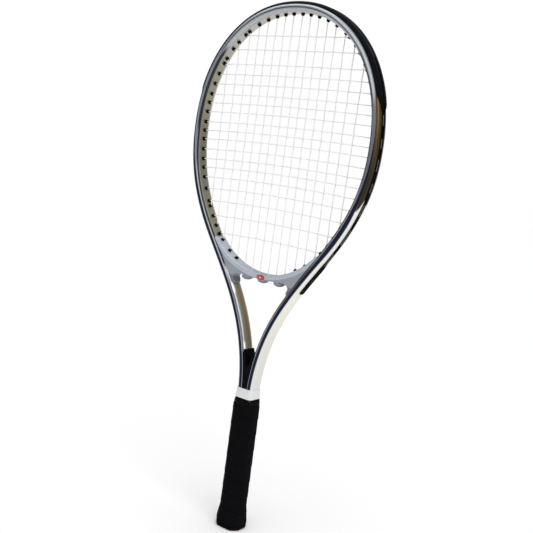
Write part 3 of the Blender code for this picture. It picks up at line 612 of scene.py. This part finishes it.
def badge_paint():
    """A red enamel oval with a pale ring and dot. Its skin is (across, up), 1 at the rim."""
    p = Paint("badge_enamel", coat=0.3, coat_rough=0.04)
    radius = p.length(*p.skin()[:2])
    tone = p.noise(400, 2)
    color = p.over(
        p.mix(tone, (0.37, 0.006, 0.014), (0.46, 0.010, 0.020)),
        (p.step(radius, 0.26, 0.20), (0.85, 0.66, 0.64)),
        (p.band(radius, 0.60, 0.68, 0.03), (0.66, 0.30, 0.30)))
    return p.finish(color, p.blend(tone, 0.12, 0.24))


def steel_paint():
    p = Paint("pin_steel")
    grain = p.noise(900, 3, stretch=(1, 8, 1))
    return p.finish(p.mix(grain, (0.50, 0.50, 0.51), (0.68, 0.68, 0.69)), p.blend(grain, 0.22, 0.40), 1.0)


def foam_paint():
    p = Paint("pallet_foam")
    cells = p.noise(1200, 4)
    p.bump(cells, 0.0002, 0.7)
    return p.finish(p.mix(cells, (0.26, 0.23, 0.18), (0.38, 0.35, 0.29)), p.blend(cells, 0.7, 0.9))


def floor_paint():
    p = Paint("floor_white")
    tone = p.noise(3, 2)
    return p.finish(p.mix(tone, (0.955, 0.955, 0.955), (0.965, 0.965, 0.965)), 0.9)


# ---------------------------------------------------------------- frame, guard and strips

def build_tube(finish):
    section = rounded_box(TUBE_HALF_WIDTH, TUBE_HALF_DEPTH, TUBE_CORNER, 8, 4)
    count = round(FULL_LENGTH / 0.0024)
    stations = np.linspace(-FULL_LENGTH, FULL_LENGTH, 2 * count + 1)
    rings, skin = swept(stations, lambda s: section)
    piece("frame_shell", *lofted(rings), finish, "silver_frame", "frame_tube", 60, skin)


def inner_end(s):
    """Where the CAD's barrel or hole at s ends on the bed's side, as a distance out (negative)."""
    x, _, z = beside(s)
    if z > ARM_TIP_Z:
        return TIP_OUT
    far = beside(s, 1.0)
    nx, nz = far[0] - x, far[2] - z
    rise = z - BRIDGE_CENTRE_Z
    along = x * nx + rise * nz
    radius = BRIDGE_RADIUS - BARREL_REACH
    inside = along * along - x * x - rise * rise + radius * radius
    return min(TIP_OUT, sqrt(max(inside, 0.0)) - along)


def cross_z(number, x):
    """The height of a cross string, which bows up in the middle."""
    bow = TOP_BOW + BOW_GROWTH * number / (len(CROSS_HEIGHTS) - 1)
    return CROSS_HEIGHTS[number] + bow * (1 - (x / BOW_HALF_WIDTH) ** 2)


def hole_at(miss, low, high, side):
    """The hole, as (arc length, inner end), at which miss(the inner end's point) is zero."""
    s = solve(lambda place: miss(beside(place, inner_end(place))), low, high)
    return side * s, inner_end(s)


CROSS_HEIGHTS = [TOP_CROSS_Z]
for gap in CROSS_GAPS_MM:
    CROSS_HEIGHTS.append(CROSS_HEIGHTS[-1] - gap * MM)
TOP_XS = [-x for x in reversed(MAIN_TOPS)] + list(MAIN_TOPS)
FOOT_XS = [-x for x in reversed(MAIN_FEET)] + list(MAIN_FEET)
TOP_HOLES = [hole_at(lambda tip, x=x: tip[0] - abs(x), 0.0, WIDEST_S, 1 if x > 0 else -1) for x in TOP_XS]
BOTTOM_HOLES = {
    i: hole_at(lambda tip, x=x: tip[0] - abs(x), WIDEST_S, STRIP_END_S, 1 if x > 0 else -1)
    for i, x in enumerate(FOOT_XS) if abs(x) >= MAIN_FEET[MIDDLE_MAINS]
}
CROSS_HOLES = {
    side: [
        hole_at(lambda tip, n=n: tip[2] - cross_z(n, tip[0]), 0.03, STRIP_END_S, side)
        for n in range(len(CROSS_HEIGHTS))
    ]
    for side in (-1, 1)
}
ALL_HOLES = TOP_HOLES + list(BOTTOM_HOLES.values()) + CROSS_HOLES[-1] + CROSS_HOLES[1]


def turned(start, axis, profile, sides=14):
    """A turned shape: profile holds (distance along the axis, radius) pairs, closed at both ends."""
    axis = Vector(axis).normalized()
    turn = Vector((0, 0, 1)).rotation_difference(axis).to_matrix()
    angles = np.linspace(0, 2 * pi, sides, endpoint=False)
    rings = []
    for along, radius in profile:
        rings.append([
            Vector(start) + turn @ Vector((radius * cos(a), radius * sin(a), along)) for a in angles])
    return lofted(rings)


def barrel(hole):
    """A grommet's barrel, from the tube's inside out to its rounded, drilled tip."""
    s, end = hole
    tip = beside(s, end - TIP_REACH)
    root = beside(s, -TUBE_HALF_WIDTH + 0.001)
    axis = tip - root
    length = float(np.linalg.norm(axis))
    profile = [
        (0, 0.0026), (0.0018, 0.0026), (length - 0.0020, 0.0023), (length - 0.0005, 0.0021),
        (length - 0.0001, 0.0017), (length, 0.0012), (length - 0.0002, 0.0008), (length - 0.0016, 0.0007),
    ]
    return turned(root, axis, profile)


def mirror_section(side):
    return np.array(side + [(out, -depth) for out, depth in reversed(side)])


def strip_section(s):
    """A channel that swells a little near its lower end and narrows there in a half circle."""
    left = max(STRIP_END_S - abs(s), 0.0)
    swell = eased((abs(s) - STRIP_SWELL_S) / STRIP_SWELL_LENGTH)
    half = STRIP_HALF_WIDTH + 0.0008 * swell
    if left < half:
        half = max(sqrt(max(half * half - (half - left) ** 2, 0.0)), 0.0006)
    height = (STRIP_HEIGHT + 0.0010 * swell) * min(0.55 + left / 0.003, 1.0)
    floor = 0.0001 + (height - 0.0004) * max(1 - left / 0.009, 0)
    edge = min(0.0005, half * 0.3)
    groove = min(CHANNEL_HALF, half * 0.62)
    base, top = TUBE_HALF_WIDTH, TUBE_HALF_WIDTH + height
    return mirror_section([
        (base - 0.0001, half), (top - edge, half), (top - edge * 0.3, half - edge * 0.3), (top, half - edge),
        (top, groove + edge), (top - edge * 0.3, groove + edge * 0.3), (top - edge, groove),
        (base + floor, groove - 0.0001),
    ])


def build_strip(name, side, finish):
    first = BUMPER_END_S + 0.0002
    count = round((STRIP_END_S - first) / 0.0025)
    stations = [
        *np.linspace(first, STRIP_END_S - 0.004, count),
        *(STRIP_END_S - left for left in (0.0032, 0.0024, 0.0016, 0.0009, 0.0003, 0.0))]
    rings, _ = swept([side * s for s in stations], strip_section)
    shape = merged([lofted(rings)] + [barrel(hole) for hole in ALL_HOLES if hole[0] * side > first])
    piece(name + "_moulding", *shape, finish, "black_nylon", name, 40)


def bumper_section(s):
    """The guard wraps the tube's outer corners, and narrows to a strip at each end."""
    from_end = BUMPER_END_S - abs(s)
    half = STRIP_HALF_WIDTH + (BUMPER_HALF_WIDTH - STRIP_HALF_WIDTH) * eased(from_end / BUMPER_TAPER)
    wrap = min(max((from_end - BUMPER_TAPER * 0.6) / BUMPER_WRAP_LENGTH, 0), 1)
    base, top = TUBE_HALF_WIDTH, TUBE_HALF_WIDTH + BUMPER_HEIGHT
    centre = TUBE_HALF_DEPTH - TUBE_CORNER
    shift = half - BUMPER_HALF_WIDTH if half < centre else 0

    def on_corner(t, lift):
        """A point round the tube's corner, from the side face towards the front."""
        angle = BUMPER_WRAP * t * wrap
        reach = TUBE_CORNER + 0.0001 + lift
        return base - TUBE_CORNER + reach * cos(angle), centre + shift + reach * sin(angle)

    body = BUMPER_HEIGHT - 0.0004
    if wrap > 0:
        foot = [on_corner(t, 0) for t in (0.33, 0.66, 1.0)]
        rim = [on_corner(t, body * (1 - 0.62 * t)) for t in (1.0, 0.75, 0.5, 0.25)]
    else:
        # Where the guard is narrowest, its edge stands straight on the side face.
        foot = [(base - 0.0001, half)] * 3
        rim = [(base + body * k, half) for k in (0.2, 0.5, 0.8, 1.0)]
    inner = [
        (top - 0.0002, half * 0.88), (top, half * 0.70), (top - 0.0001, CHANNEL_HALF + 0.0004),
        (top - 0.0005, CHANNEL_HALF), (base + 0.0001, CHANNEL_HALF - 0.0001),
    ]
    return mirror_section([(base - 0.0002, min(half, 0.0060) * 0.5)] + foot + rim + inner)


def build_bumper(finish):
    count = round(BUMPER_END_S / 0.0022)
    rings, skin = swept(np.linspace(-BUMPER_END_S, BUMPER_END_S, 2 * count + 1), bumper_section)
    shape = merged([lofted(rings)] + [barrel(hole) for hole in ALL_HOLES if abs(hole[0]) < BUMPER_END_S])
    skin = np.concatenate([skin, np.zeros((len(shape[0]) - len(skin), 3))])
    piece("bumper_moulding", *shape, finish, "black_nylon", "bumper_guard", 40, skin)


# ---------------------------------------------------------------- strings

class Run:
    """A string's path as it is threaded, marked 1 where it lies outside the frame."""

    def __init__(self, start):
        self.points = []
        self.add([start], 1)

    def add(self, points, outer=0):
        self.points += [(*point, outer) for point in points]

    def build(self, name, node, finish):
        shape, skin = cord(rounded_path(self.points, 1), STRING_RADIUS)
        piece(name, *shape, finish, "strings", node, 60, skin)


def into_bed(hole):
    return beside(hole[0], hole[1] - ENTRY)


def outside(hole):
    return beside(hole[0], LOOP_OUT)


def loop(first, last, lane):
    """A string's way in the outer groove from one hole's mouth to the next one's."""
    start, end = first[0], last[0]
    count = max(round(abs(end - start) / LOOP_STEP), 3)
    ease = np.sin(np.linspace(0, pi, count + 1)) ** 0.35
    return list(beside(np.linspace(start, end, count + 1), LOOP_OUT, lane * ease))


def main_x(i, z):
    top = beside(*TOP_HOLES[i])[2]
    foot = beside(*BOTTOM_HOLES[i])[2] if i in BOTTOM_HOLES else BRIDGE_TOP_Z
    return TOP_XS[i] + (FOOT_XS[i] - TOP_XS[i]) * (top - z) / (top - foot)


def crossings(i):
    """Where main string i meets the cross strings, top first, as (number of the cross, x, z)."""
    found = []
    for number, height in enumerate(CROSS_HEIGHTS):
        x = main_x(i, height)
        if abs(x) < beside(*CROSS_HOLES[1][number])[0] - 0.0012:
            found.append((number, x, cross_z(number, x)))
    return found


def woven(stops, steps):
    """A string between (x, z, y) stops, straight along the bed and in waves from front to back."""
    points = []
    for (x0, z0, y0), (x1, z1, y1) in zip(stops, stops[1:]):
        for t in np.linspace(0, 1, steps, endpoint=False):
            ease = (1 - cos(pi * t)) / 2
            points.append((x0 + (x1 - x0) * t, y0 + (y1 - y0) * ease, z0 + (z1 - z0) * t))
    x, z, y = stops[-1]
    return points + [(x, y, z)]


def main_run(i):
    """Main string i through the bed, top first, pushed back and forth by the cross strings."""
    top = into_bed(TOP_HOLES[i])
    foot = into_bed(BOTTOM_HOLES[i]) if i in BOTTOM_HOLES else np.array([FOOT_XS[i], 0, BRIDGE_TOP_Z + 0.001])
    turns = [(z, MAIN_WEAVE if (i + number) % 2 else -MAIN_WEAVE) for number, _, z in crossings(i)]
    stops = []
    for z, y in [(top[2], 0.0), *turns, (foot[2], 0.0)]:
        share = (top[2] - z) / (top[2] - foot[2])
        stops.append((top[0] + (foot[0] - top[0]) * share, z, y))
    return woven(stops, 4)


def build_mains(finish):
    last = len(TOP_XS) - 1
    string = Run(outside(BOTTOM_HOLES[0]))
    for i in range(last + 1):
        run = main_run(i)
        if i not in BOTTOM_HOLES:
            run.append((FOOT_XS[i], 0.0, BRIDGE_LOOP_Z))
        if i % 2 == 0:
            string.add(run[::-1])
            string.add(loop(TOP_HOLES[i], TOP_HOLES[i + 1], LOOP_LANE), 1)
        else:
            string.add(run)
            if i in BOTTOM_HOLES and i < last:
                string.add(loop(BOTTOM_HOLES[i], BOTTOM_HOLES[i + 1], LOOP_LANE), 1)
    string.add([outside(BOTTOM_HOLES[last])], 1)
    string.build("main_string_run", "main_strings", finish)


def build_crosses(finish):
    """The cross string, woven over one main and under the next, side to side down the bed."""
    string = Run(outside(CROSS_HOLES[-1][0]))
    for number in range(len(CROSS_HEIGHTS)):
        (x0, _, z0), (x1, _, z1) = (into_bed(CROSS_HOLES[side][number]) for side in (-1, 1))
        stops = [(x0, z0, 0.0)]
        for i in range(len(TOP_XS)):
            for crossing, x, z in crossings(i):
                if crossing == number:
                    stops.append((x, z, -CROSS_WEAVE if (i + number) % 2 else CROSS_WEAVE))
        row = woven(stops + [(x1, z1, 0.0)], 6)
        side = 1 if number % 2 == 0 else -1
        string.add(row[::side])
        here, following = CROSS_HOLES[side][number], CROSS_HOLES[side][number + 1:number + 2]
        string.add(loop(here, following[0], -LOOP_LANE) if following else [outside(here)], 1)
    string.build("cross_string_run", "cross_strings", finish)


# ---------------------------------------------------------------- throat

def extrusion(outline, half_depth):
    """A plate with an (x, z) outline."""
    return lofted([[(x, y, z) for x, z in outline] for y in (-half_depth, half_depth)])


def mirrored(right):
    """A whole (x, z) outline from its right half."""
    return right + [(-x, z) for x, z in reversed(right)]


def bridge_web():
    """The plate under the rim: rim side, tube side, leg and underside."""
    top_radius = BRIDGE_RADIUS + 0.0016
    right = [(x, BRIDGE_CENTRE_Z - sqrt(top_radius ** 2 - x * x)) for x in np.linspace(0.001, 0.0792, 24)]
    inside = -0.0040
    first, last = at_height(ARM_TIP_Z + 0.001, inside), at_height(0.3262, inside)
    right += beside(np.linspace(first, last, 22), inside)[:, ::2].tolist()
    right += [
        (0.0462, 0.3228), (0.0452, 0.3232), (0.0449, 0.3250), (0.0452, 0.3285), (0.0448, 0.3315),
        (0.0434, 0.3342), (0.0410, 0.3360), (0.0375, 0.3370), (0.0320, 0.3372), (0.0220, 0.3364),
        (0.0110, 0.3358), (0.001, 0.3356),
    ]
    return mirrored(right)


def bridge_rim():
    """The raised rim that carries the middle strings, thinning up each arm."""
    rings = []
    for x in np.linspace(-0.0800, 0.0800, 84):
        angle = np.arcsin(x / BRIDGE_RADIUS)
        end = min(max((abs(x) - 0.058) / 0.022, 0), 1)
        thick = 0.0064 - 0.0030 * end
        section = rounded_box(thick / 2, 0.0100, 0.0014, 4, 2)
        radius = BRIDGE_RADIUS + thick / 2 + section[:, 0]
        rings.append(np.column_stack([
            radius * sin(angle), section[:, 1], BRIDGE_CENTRE_Z - radius * cos(angle)]))
    return lofted(rings)


def ellipsoid(centre, size, segments=24, rows=14):
    rings = []
    turns = np.linspace(0, 2 * pi, segments, endpoint=False)
    for row in range(1, rows):
        polar = pi * row / rows
        rings.append(np.column_stack([
            centre[0] + size[0] * sin(polar) * np.cos(turns),
            centre[1] + size[1] * sin(polar) * np.sin(turns),
            np.full(segments, centre[2] + size[2] * cos(polar))]))
    return lofted(rings)


def leg_tab(side):
    """The rounded tab at the foot of each leg, against the tube's inner side."""
    first, last = at_height(0.3405), at_height(0.3188)
    rings = []
    for t in np.linspace(0, 1, 14):
        s = first + (last - first) * t
        width = 0.0088 * (1 - max(t - 0.72, 0) ** 2 / 0.28 ** 2 * 0.75) ** 0.5
        inner = 0.0019 - 0.0006 * t
        section = rounded_box(inner + 0.0004, width, 0.0011, 4, 2)
        rings.append(beside(side * s, -TUBE_HALF_WIDTH - inner + 0.0006 + section[:, 0], section[:, 1]))
    return lofted(rings)


def remeshed(shape, voxel, smoothing, name, finish, slot, node):
    """The shapes melted into one moulding with small fillets where they meet."""
    made = piece(name, *shape, finish, slot, node, 180)
    remesh = made.modifiers.new("melt", "REMESH")
    remesh.mode = "VOXEL"
    remesh.voxel_size = voxel
    remesh.use_smooth_shade = True
    smooth = made.modifiers.new("fillets", "SMOOTH")
    smooth.factor = 0.5
    smooth.iterations = smoothing
    melted = made.evaluated_get(bpy.context.evaluated_depsgraph_get())
    mesh = bpy.data.meshes.new_from_object(melted)
    made.modifiers.clear()
    old = made.data
    made.data = mesh
    bpy.data.meshes.remove(old)
    if not mesh.materials:
        mesh.materials.append(finish)
    mesh.name = name


def build_bridge(finish):
    """The moulding with its three humps, and an eyelet where each middle string goes in."""
    shapes = [extrusion(bridge_web(), 0.0086), bridge_rim(), leg_tab(-1), leg_tab(1)]
    for x in (-0.0258, 0.0, 0.0258):
        shapes.append(ellipsoid((x, 0, 0.3345), (0.0078, 0.0074, 0.0042)))
    remeshed(merged(shapes), 0.00055, 5, "bridge_moulding", finish, "grey_moulding", "throat_bridge")
    profile = ((-0.002, 0.0016), (0.0004, 0.0016), (0.0007, 0.0013), (0.0007, 0.0009), (-0.0006, 0.0008))
    eyelets = []
    for x in FOOT_XS:
        if abs(x) < MAIN_FEET[MIDDLE_MAINS]:
            z = BRIDGE_CENTRE_Z - sqrt(BRIDGE_RADIUS ** 2 - x * x)
            eyelets.append(turned((x, 0, z), (-x / BRIDGE_RADIUS, 0, 1), profile))
    piece("bridge_eyelets", *merged(eyelets), finish, "grey_moulding", None, 40)


def build_badge(finish):
    centre_x, centre_y, centre_z = 0.0025, -0.0103, 0.3388
    half_width, half_height = 0.0062, 0.0036
    count = 48
    turns = np.linspace(0, 2 * pi, count, endpoint=False)
    rings, skin = [], []
    for scale, rise in (
            (1.0, -0.0008), (1.0, 0.0003), (0.95, 0.0006), (0.80, 0.0008), (0.5, 0.00095), (0.2, 0.0010)):
        across, up = scale * np.cos(turns), scale * np.sin(turns)
        rings.append(np.column_stack([
            centre_x + half_width * across, np.full(count, centre_y - rise), centre_z + half_height * up]))
        skin.append(np.column_stack([across, up, np.zeros(count)]))
    piece("badge_oval", *lofted(rings), finish, "red_badge", "bridge_badge", 50, np.concatenate(skin))


def build_insert(finish):
    """The black wedge between the shafts, notched on top, with a lobe up each of them."""
    top, lobes_top, bottom = (at_height(z) for z in (0.2405, 0.2388, 0.1905))
    right = [(0.0005, 0.2196), (0.0013, 0.2206), (0.0023, 0.2230)]
    for z, lobe in ((0.2275, 0.0016), (0.2320, 0.0015), (0.2360, 0.0015), (0.2385, 0.0013), (0.2398, 0.0009)):
        right.append(tuple(beside(at_height(z), -TUBE_HALF_WIDTH - lobe)[::2]))
    for x, _, z in beside(np.linspace(top, bottom, 26), -TUBE_HALF_WIDTH + 0.0012):
        right.append((max(x, 0.0004), z))
    shapes = [extrusion(mirrored(right), 0.0100)]
    # Rounded strips that follow the corners of both shafts, front and back.
    for side in (-1, 1):
        for face in (-1, 1):
            rings = []
            for t in np.linspace(0, 1, 22):
                s = lobes_top + (bottom - lobes_top) * t
                swell = sqrt(max(1 - (1 - min(t / 0.12, 1)) ** 2, 0.02))
                section = rounded_box(0.0024 * swell, 0.0021 * swell, 0.0009 * swell, 3, 1)
                out, depth = -TUBE_HALF_WIDTH + 0.0010 + section[:, 0], face * 0.0089 + section[:, 1]
                rings.append(beside(side * s, out, depth))
            shapes.append(lofted(rings))
    remeshed(merged(shapes), 0.0004, 4, "insert_wedge", finish, "black_moulding", "throat_insert")


# ---------------------------------------------------------------- handle

def octagon_at(half_x, half_y, cut, count=96, corner=0.0022):
    """Points round an octagon with softened corners, and their angles about its middle."""
    turns = np.linspace(0, 2 * pi, count, endpoint=False)
    directions = np.column_stack([np.cos(turns), np.sin(turns)])
    slant = sqrt(0.5)
    normals = [(-1, 0), (1, 0), (0, -1), (0, 1)] + [(a * slant, b * slant) for a in (-1, 1) for b in (-1, 1)]
    distances = [half_x] * 2 + [half_y] * 2 + [(half_x + half_y - cut) / sqrt(2)] * 4
    shares = directions @ np.array(normals).T / np.array(distances)
    sharpness = half_x / corner * 2.4
    radius = np.sum(np.maximum(shares, 1e-6) ** sharpness, axis=1) ** (-1 / sharpness)
    return directions * radius[:, None], turns


def grown(outline, grow):
    """The outline moved out from its middle, by one amount or by one for each point."""
    radius = np.linalg.norm(outline, axis=1)
    return outline * ((radius + grow) / radius)[:, None]


def grip_shape(z):
    """Half width, half depth and corner cut of the grip at a height."""
    heights = (0.0, 0.010, 0.018, 0.030, 0.157, 0.166, 0.172, 0.178)
    widths = (0.0190, 0.0194, 0.0186, 0.0171, 0.0171, 0.0167, 0.0156, 0.0140)
    depths = (0.0170, 0.0174, 0.0166, 0.0149, 0.0149, 0.0147, 0.0139, 0.0128)
    cuts = (0.0084, 0.0086, 0.0083, 0.0077, 0.0077, 0.0070, 0.0058, 0.0044)
    return tuple(float(np.interp(z, heights, values)) for values in (widths, depths, cuts))


def build_grip(finish):
    rings, skin = [], []
    for z in np.linspace(WRAP_LOW_Z, WRAP_HIGH_Z, 230):
        outline, turns = octagon_at(*grip_shape(z))
        phase = (z / WRAP_PITCH + turns / (2 * pi)) % 1.0

        def near_seam(offset, width):
            return sum(np.exp(-((phase - place) / width) ** 2) for place in (offset, 1.0))

        # Each turn of the wrap lies over the last: it steps up at its seam and settles again.
        lift = 0.00055 * np.clip(phase / 0.07, 0, 1) * (1 - 0.75 * phase) - 0.0003
        end = np.clip(min(z - WRAP_LOW_Z, WRAP_HIGH_Z - z) / 0.0012, 0, 1)
        grow = lift - 0.00035 * near_seam(0.0, 0.03) - 0.0012 * (1 - sqrt(1 - (1 - end) ** 2))
        rings.append(level(grown(outline, grow), z))
        dark_line = np.clip(near_seam(0.01, 0.018), 0, 1)
        skin.append(np.column_stack([turns * 0.0165 + z * 0.2, phase * WRAP_PITCH, dark_line]))
    piece("grip_spiral", *lofted(rings), finish, "black_wrap", "grip_wrap", 60, np.concatenate(skin))


def ring_stack(levels):
    """The grip's outline at each (height, growth)."""
    return lofted([level(grown(octagon_at(*grip_shape(z))[0], grow), z) for z, grow in levels])


def build_tape(finish):
    levels = (
        (0.1700, -0.0012), (0.1702, -0.0003), (0.1712, 0.0),
        (0.1768, 0.0), (0.1776, -0.0004), (0.1777, -0.0015))
    piece("tape_band", *ring_stack(levels), finish, "black_tape", "finishing_tape", 40)


def build_cap(finish):
    """The cap under the grip, with a thin bead round the plug's place."""
    cap = ring_stack((
        (0.0000, -0.0022), (0.0002, -0.0012), (0.0008, -0.0004), (0.0016, 0.0), (0.0036, 0.0002),
        (0.0044, -0.0002), (0.0047, -0.0009), (0.0060, -0.0016), (0.0200, -0.0018)))
    plug_half_x = 0.0112
    oblong = rounded_box(plug_half_x, 0.0084, 0.0040, 8, 3)
    bead = lofted([level(oblong * (1 + grow / plug_half_x), z) for grow, z in (
        (0.0, 0.0002), (0.0001, 0.00005), (0.0004, 0.0), (0.0007, 0.00005), (0.0008, 0.0002))])
    piece("cap_moulding", *merged([cap, bead]), finish, "black_moulding", "butt_cap", 40)


def build_collar(finish):
    """A soft square-cornered collar, with a fine lip at its top and bottom."""
    levels = (
        (0.1779, 0.0134, 0.0122), (0.1781, 0.0136, 0.0124), (0.1795, 0.0135, 0.0123),
        (0.1850, 0.0132, 0.0119), (0.1890, 0.01295, 0.0116), (0.1901, 0.0129, 0.01155),
        (0.1907, 0.0127, 0.0114), (0.1908, 0.0124, 0.0111), (0.1907, 0.0121, 0.0108),
        (0.1880, 0.0120, 0.0107), (0.1780, 0.0118, 0.0106),
    )
    rings = [level(rounded_box(half_x, half_y, 0.0052, 8, 4), z) for z, half_x, half_y in levels]
    piece("collar_sleeve", *lofted(rings, wrap=True), finish, "white_rubber", "grip_collar", 40)


# ---------------------------------------------------------------- stage

def build_floor(size=30.0):
    mesh = bpy.data.meshes.new("floor")
    corners = ((-size, -size, 0), (size, -size, 0), (size, size, 0), (-size, size, 0))
    mesh.from_pydata(corners, [], [(0, 1, 2, 3)])
    floor = bpy.data.objects.new("floor", mesh)
    bpy.context.scene.collection.objects.link(floor)
    mesh.materials.append(floor_paint())
    floor.location.z = -0.0002


def build_world():
    """White to the camera; for light, a studio that is bright above and dim below."""
    world = bpy.data.worlds.new("studio")
    bpy.context.scene.world = world
    world.use_nodes = True
    nodes = Nodes(world.node_tree)
    back = world.node_tree.nodes["Background"]
    up = nodes.split(nodes.node("ShaderNodeTexCoord").outputs["Generated"])[2]
    ramp = nodes.node("ShaderNodeValToRGB")
    stops = ramp.color_ramp.elements
    for place, strength in ((0.0, 0.12), (0.46, 0.12), (0.56, 0.16), (0.70, 0.30), (0.82, 0.80), (1.0, 0.90)):
        stop = stops[0] if place == 0 else stops[-1] if place == 1 else stops.new(place)
        stop.position = place
        stop.color = (strength / 2, strength / 2, strength / 2 * 1.03, 1)
    nodes.put(ramp.inputs[0], nodes.math("MULTIPLY_ADD", up, 0.5, 0.5))
    lit = nodes.times(ramp.outputs[0], 2.0)
    seen = nodes.node("ShaderNodeLightPath").outputs["Is Camera Ray"]
    nodes.put(back.inputs["Strength"], nodes.blend(seen, lit, 1.0))
    nodes.put(back.inputs["Color"], (1, 1, 1))


def sun(name, towards, strength, spread):
    light = bpy.data.lights.new(name, "SUN")
    light.energy = strength
    light.angle = radians(spread)
    lamp = bpy.data.objects.new(name, light)
    bpy.context.scene.collection.objects.link(lamp)
    lamp.location = towards
    lamp.rotation_euler = Vector(towards).to_track_quat("Z", "Y").to_euler()


def build_camera():
    azimuth, elevation, roll = radians(35.955), radians(7.131), radians(7.605)
    back = Vector((sin(azimuth) * cos(elevation), -cos(azimuth) * cos(elevation), sin(elevation)))
    right = Vector((cos(azimuth), sin(azimuth), 0))
    up = back.cross(right)
    data = bpy.data.cameras.new("camera")
    data.lens = 54.98
    data.sensor_width = 36.0
    data.clip_start = 0.05
    camera = bpy.data.objects.new("camera", data)
    bpy.context.scene.collection.objects.link(camera)
    side = right * cos(roll) + up * sin(roll)
    top = up * cos(roll) - right * sin(roll)
    aim, distance = Vector((0.0024, 0, 0.35265)), 1.0479
    place = aim + back * distance
    rows = [(side[i], top[i], back[i], place[i]) for i in range(3)]
    camera.matrix_world = Matrix((*rows, (0, 0, 0, 1)))
    bpy.context.scene.camera = camera


def dress(start, finish):
    """Gives a finish to the CAD nodes whose names begin with start."""
    for name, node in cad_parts.items():
        if name.startswith(start):
            node.data.materials.clear()
            node.data.materials.append(finish)


bpy.context.scene.view_settings.view_transform = "Standard"
build_camera()
build_floor()
build_world()
sun("key", (1.6, -0.9, 1.0), 1.1, 45)
sun("top", (0.1, -0.4, 1.6), 0.75, 50)
nylon = nylon_paint("guard_nylon", (0.0022, 0.0026, 0.0038), 0.30)
black = gloss_black("gloss_black")
strings_finish = string_paint()
build_tube(frame_paint())
build_bumper(nylon)
build_strip("left_grommet_strip", -1, nylon)
build_strip("right_grommet_strip", 1, nylon)
build_mains(strings_finish)
build_crosses(strings_finish)
build_bridge(bridge_paint())
build_badge(badge_paint())
build_insert(black)
build_grip(wrap_paint())
build_tape(nylon_paint("tape_black", (0.003, 0.003, 0.0035), 0.5))
build_cap(black)
build_collar(collar_paint())
dress(("pallet_pin", "cap_nail"), steel_paint())
dress("handle_pallet", foam_paint())
dress("butt_plug", black)
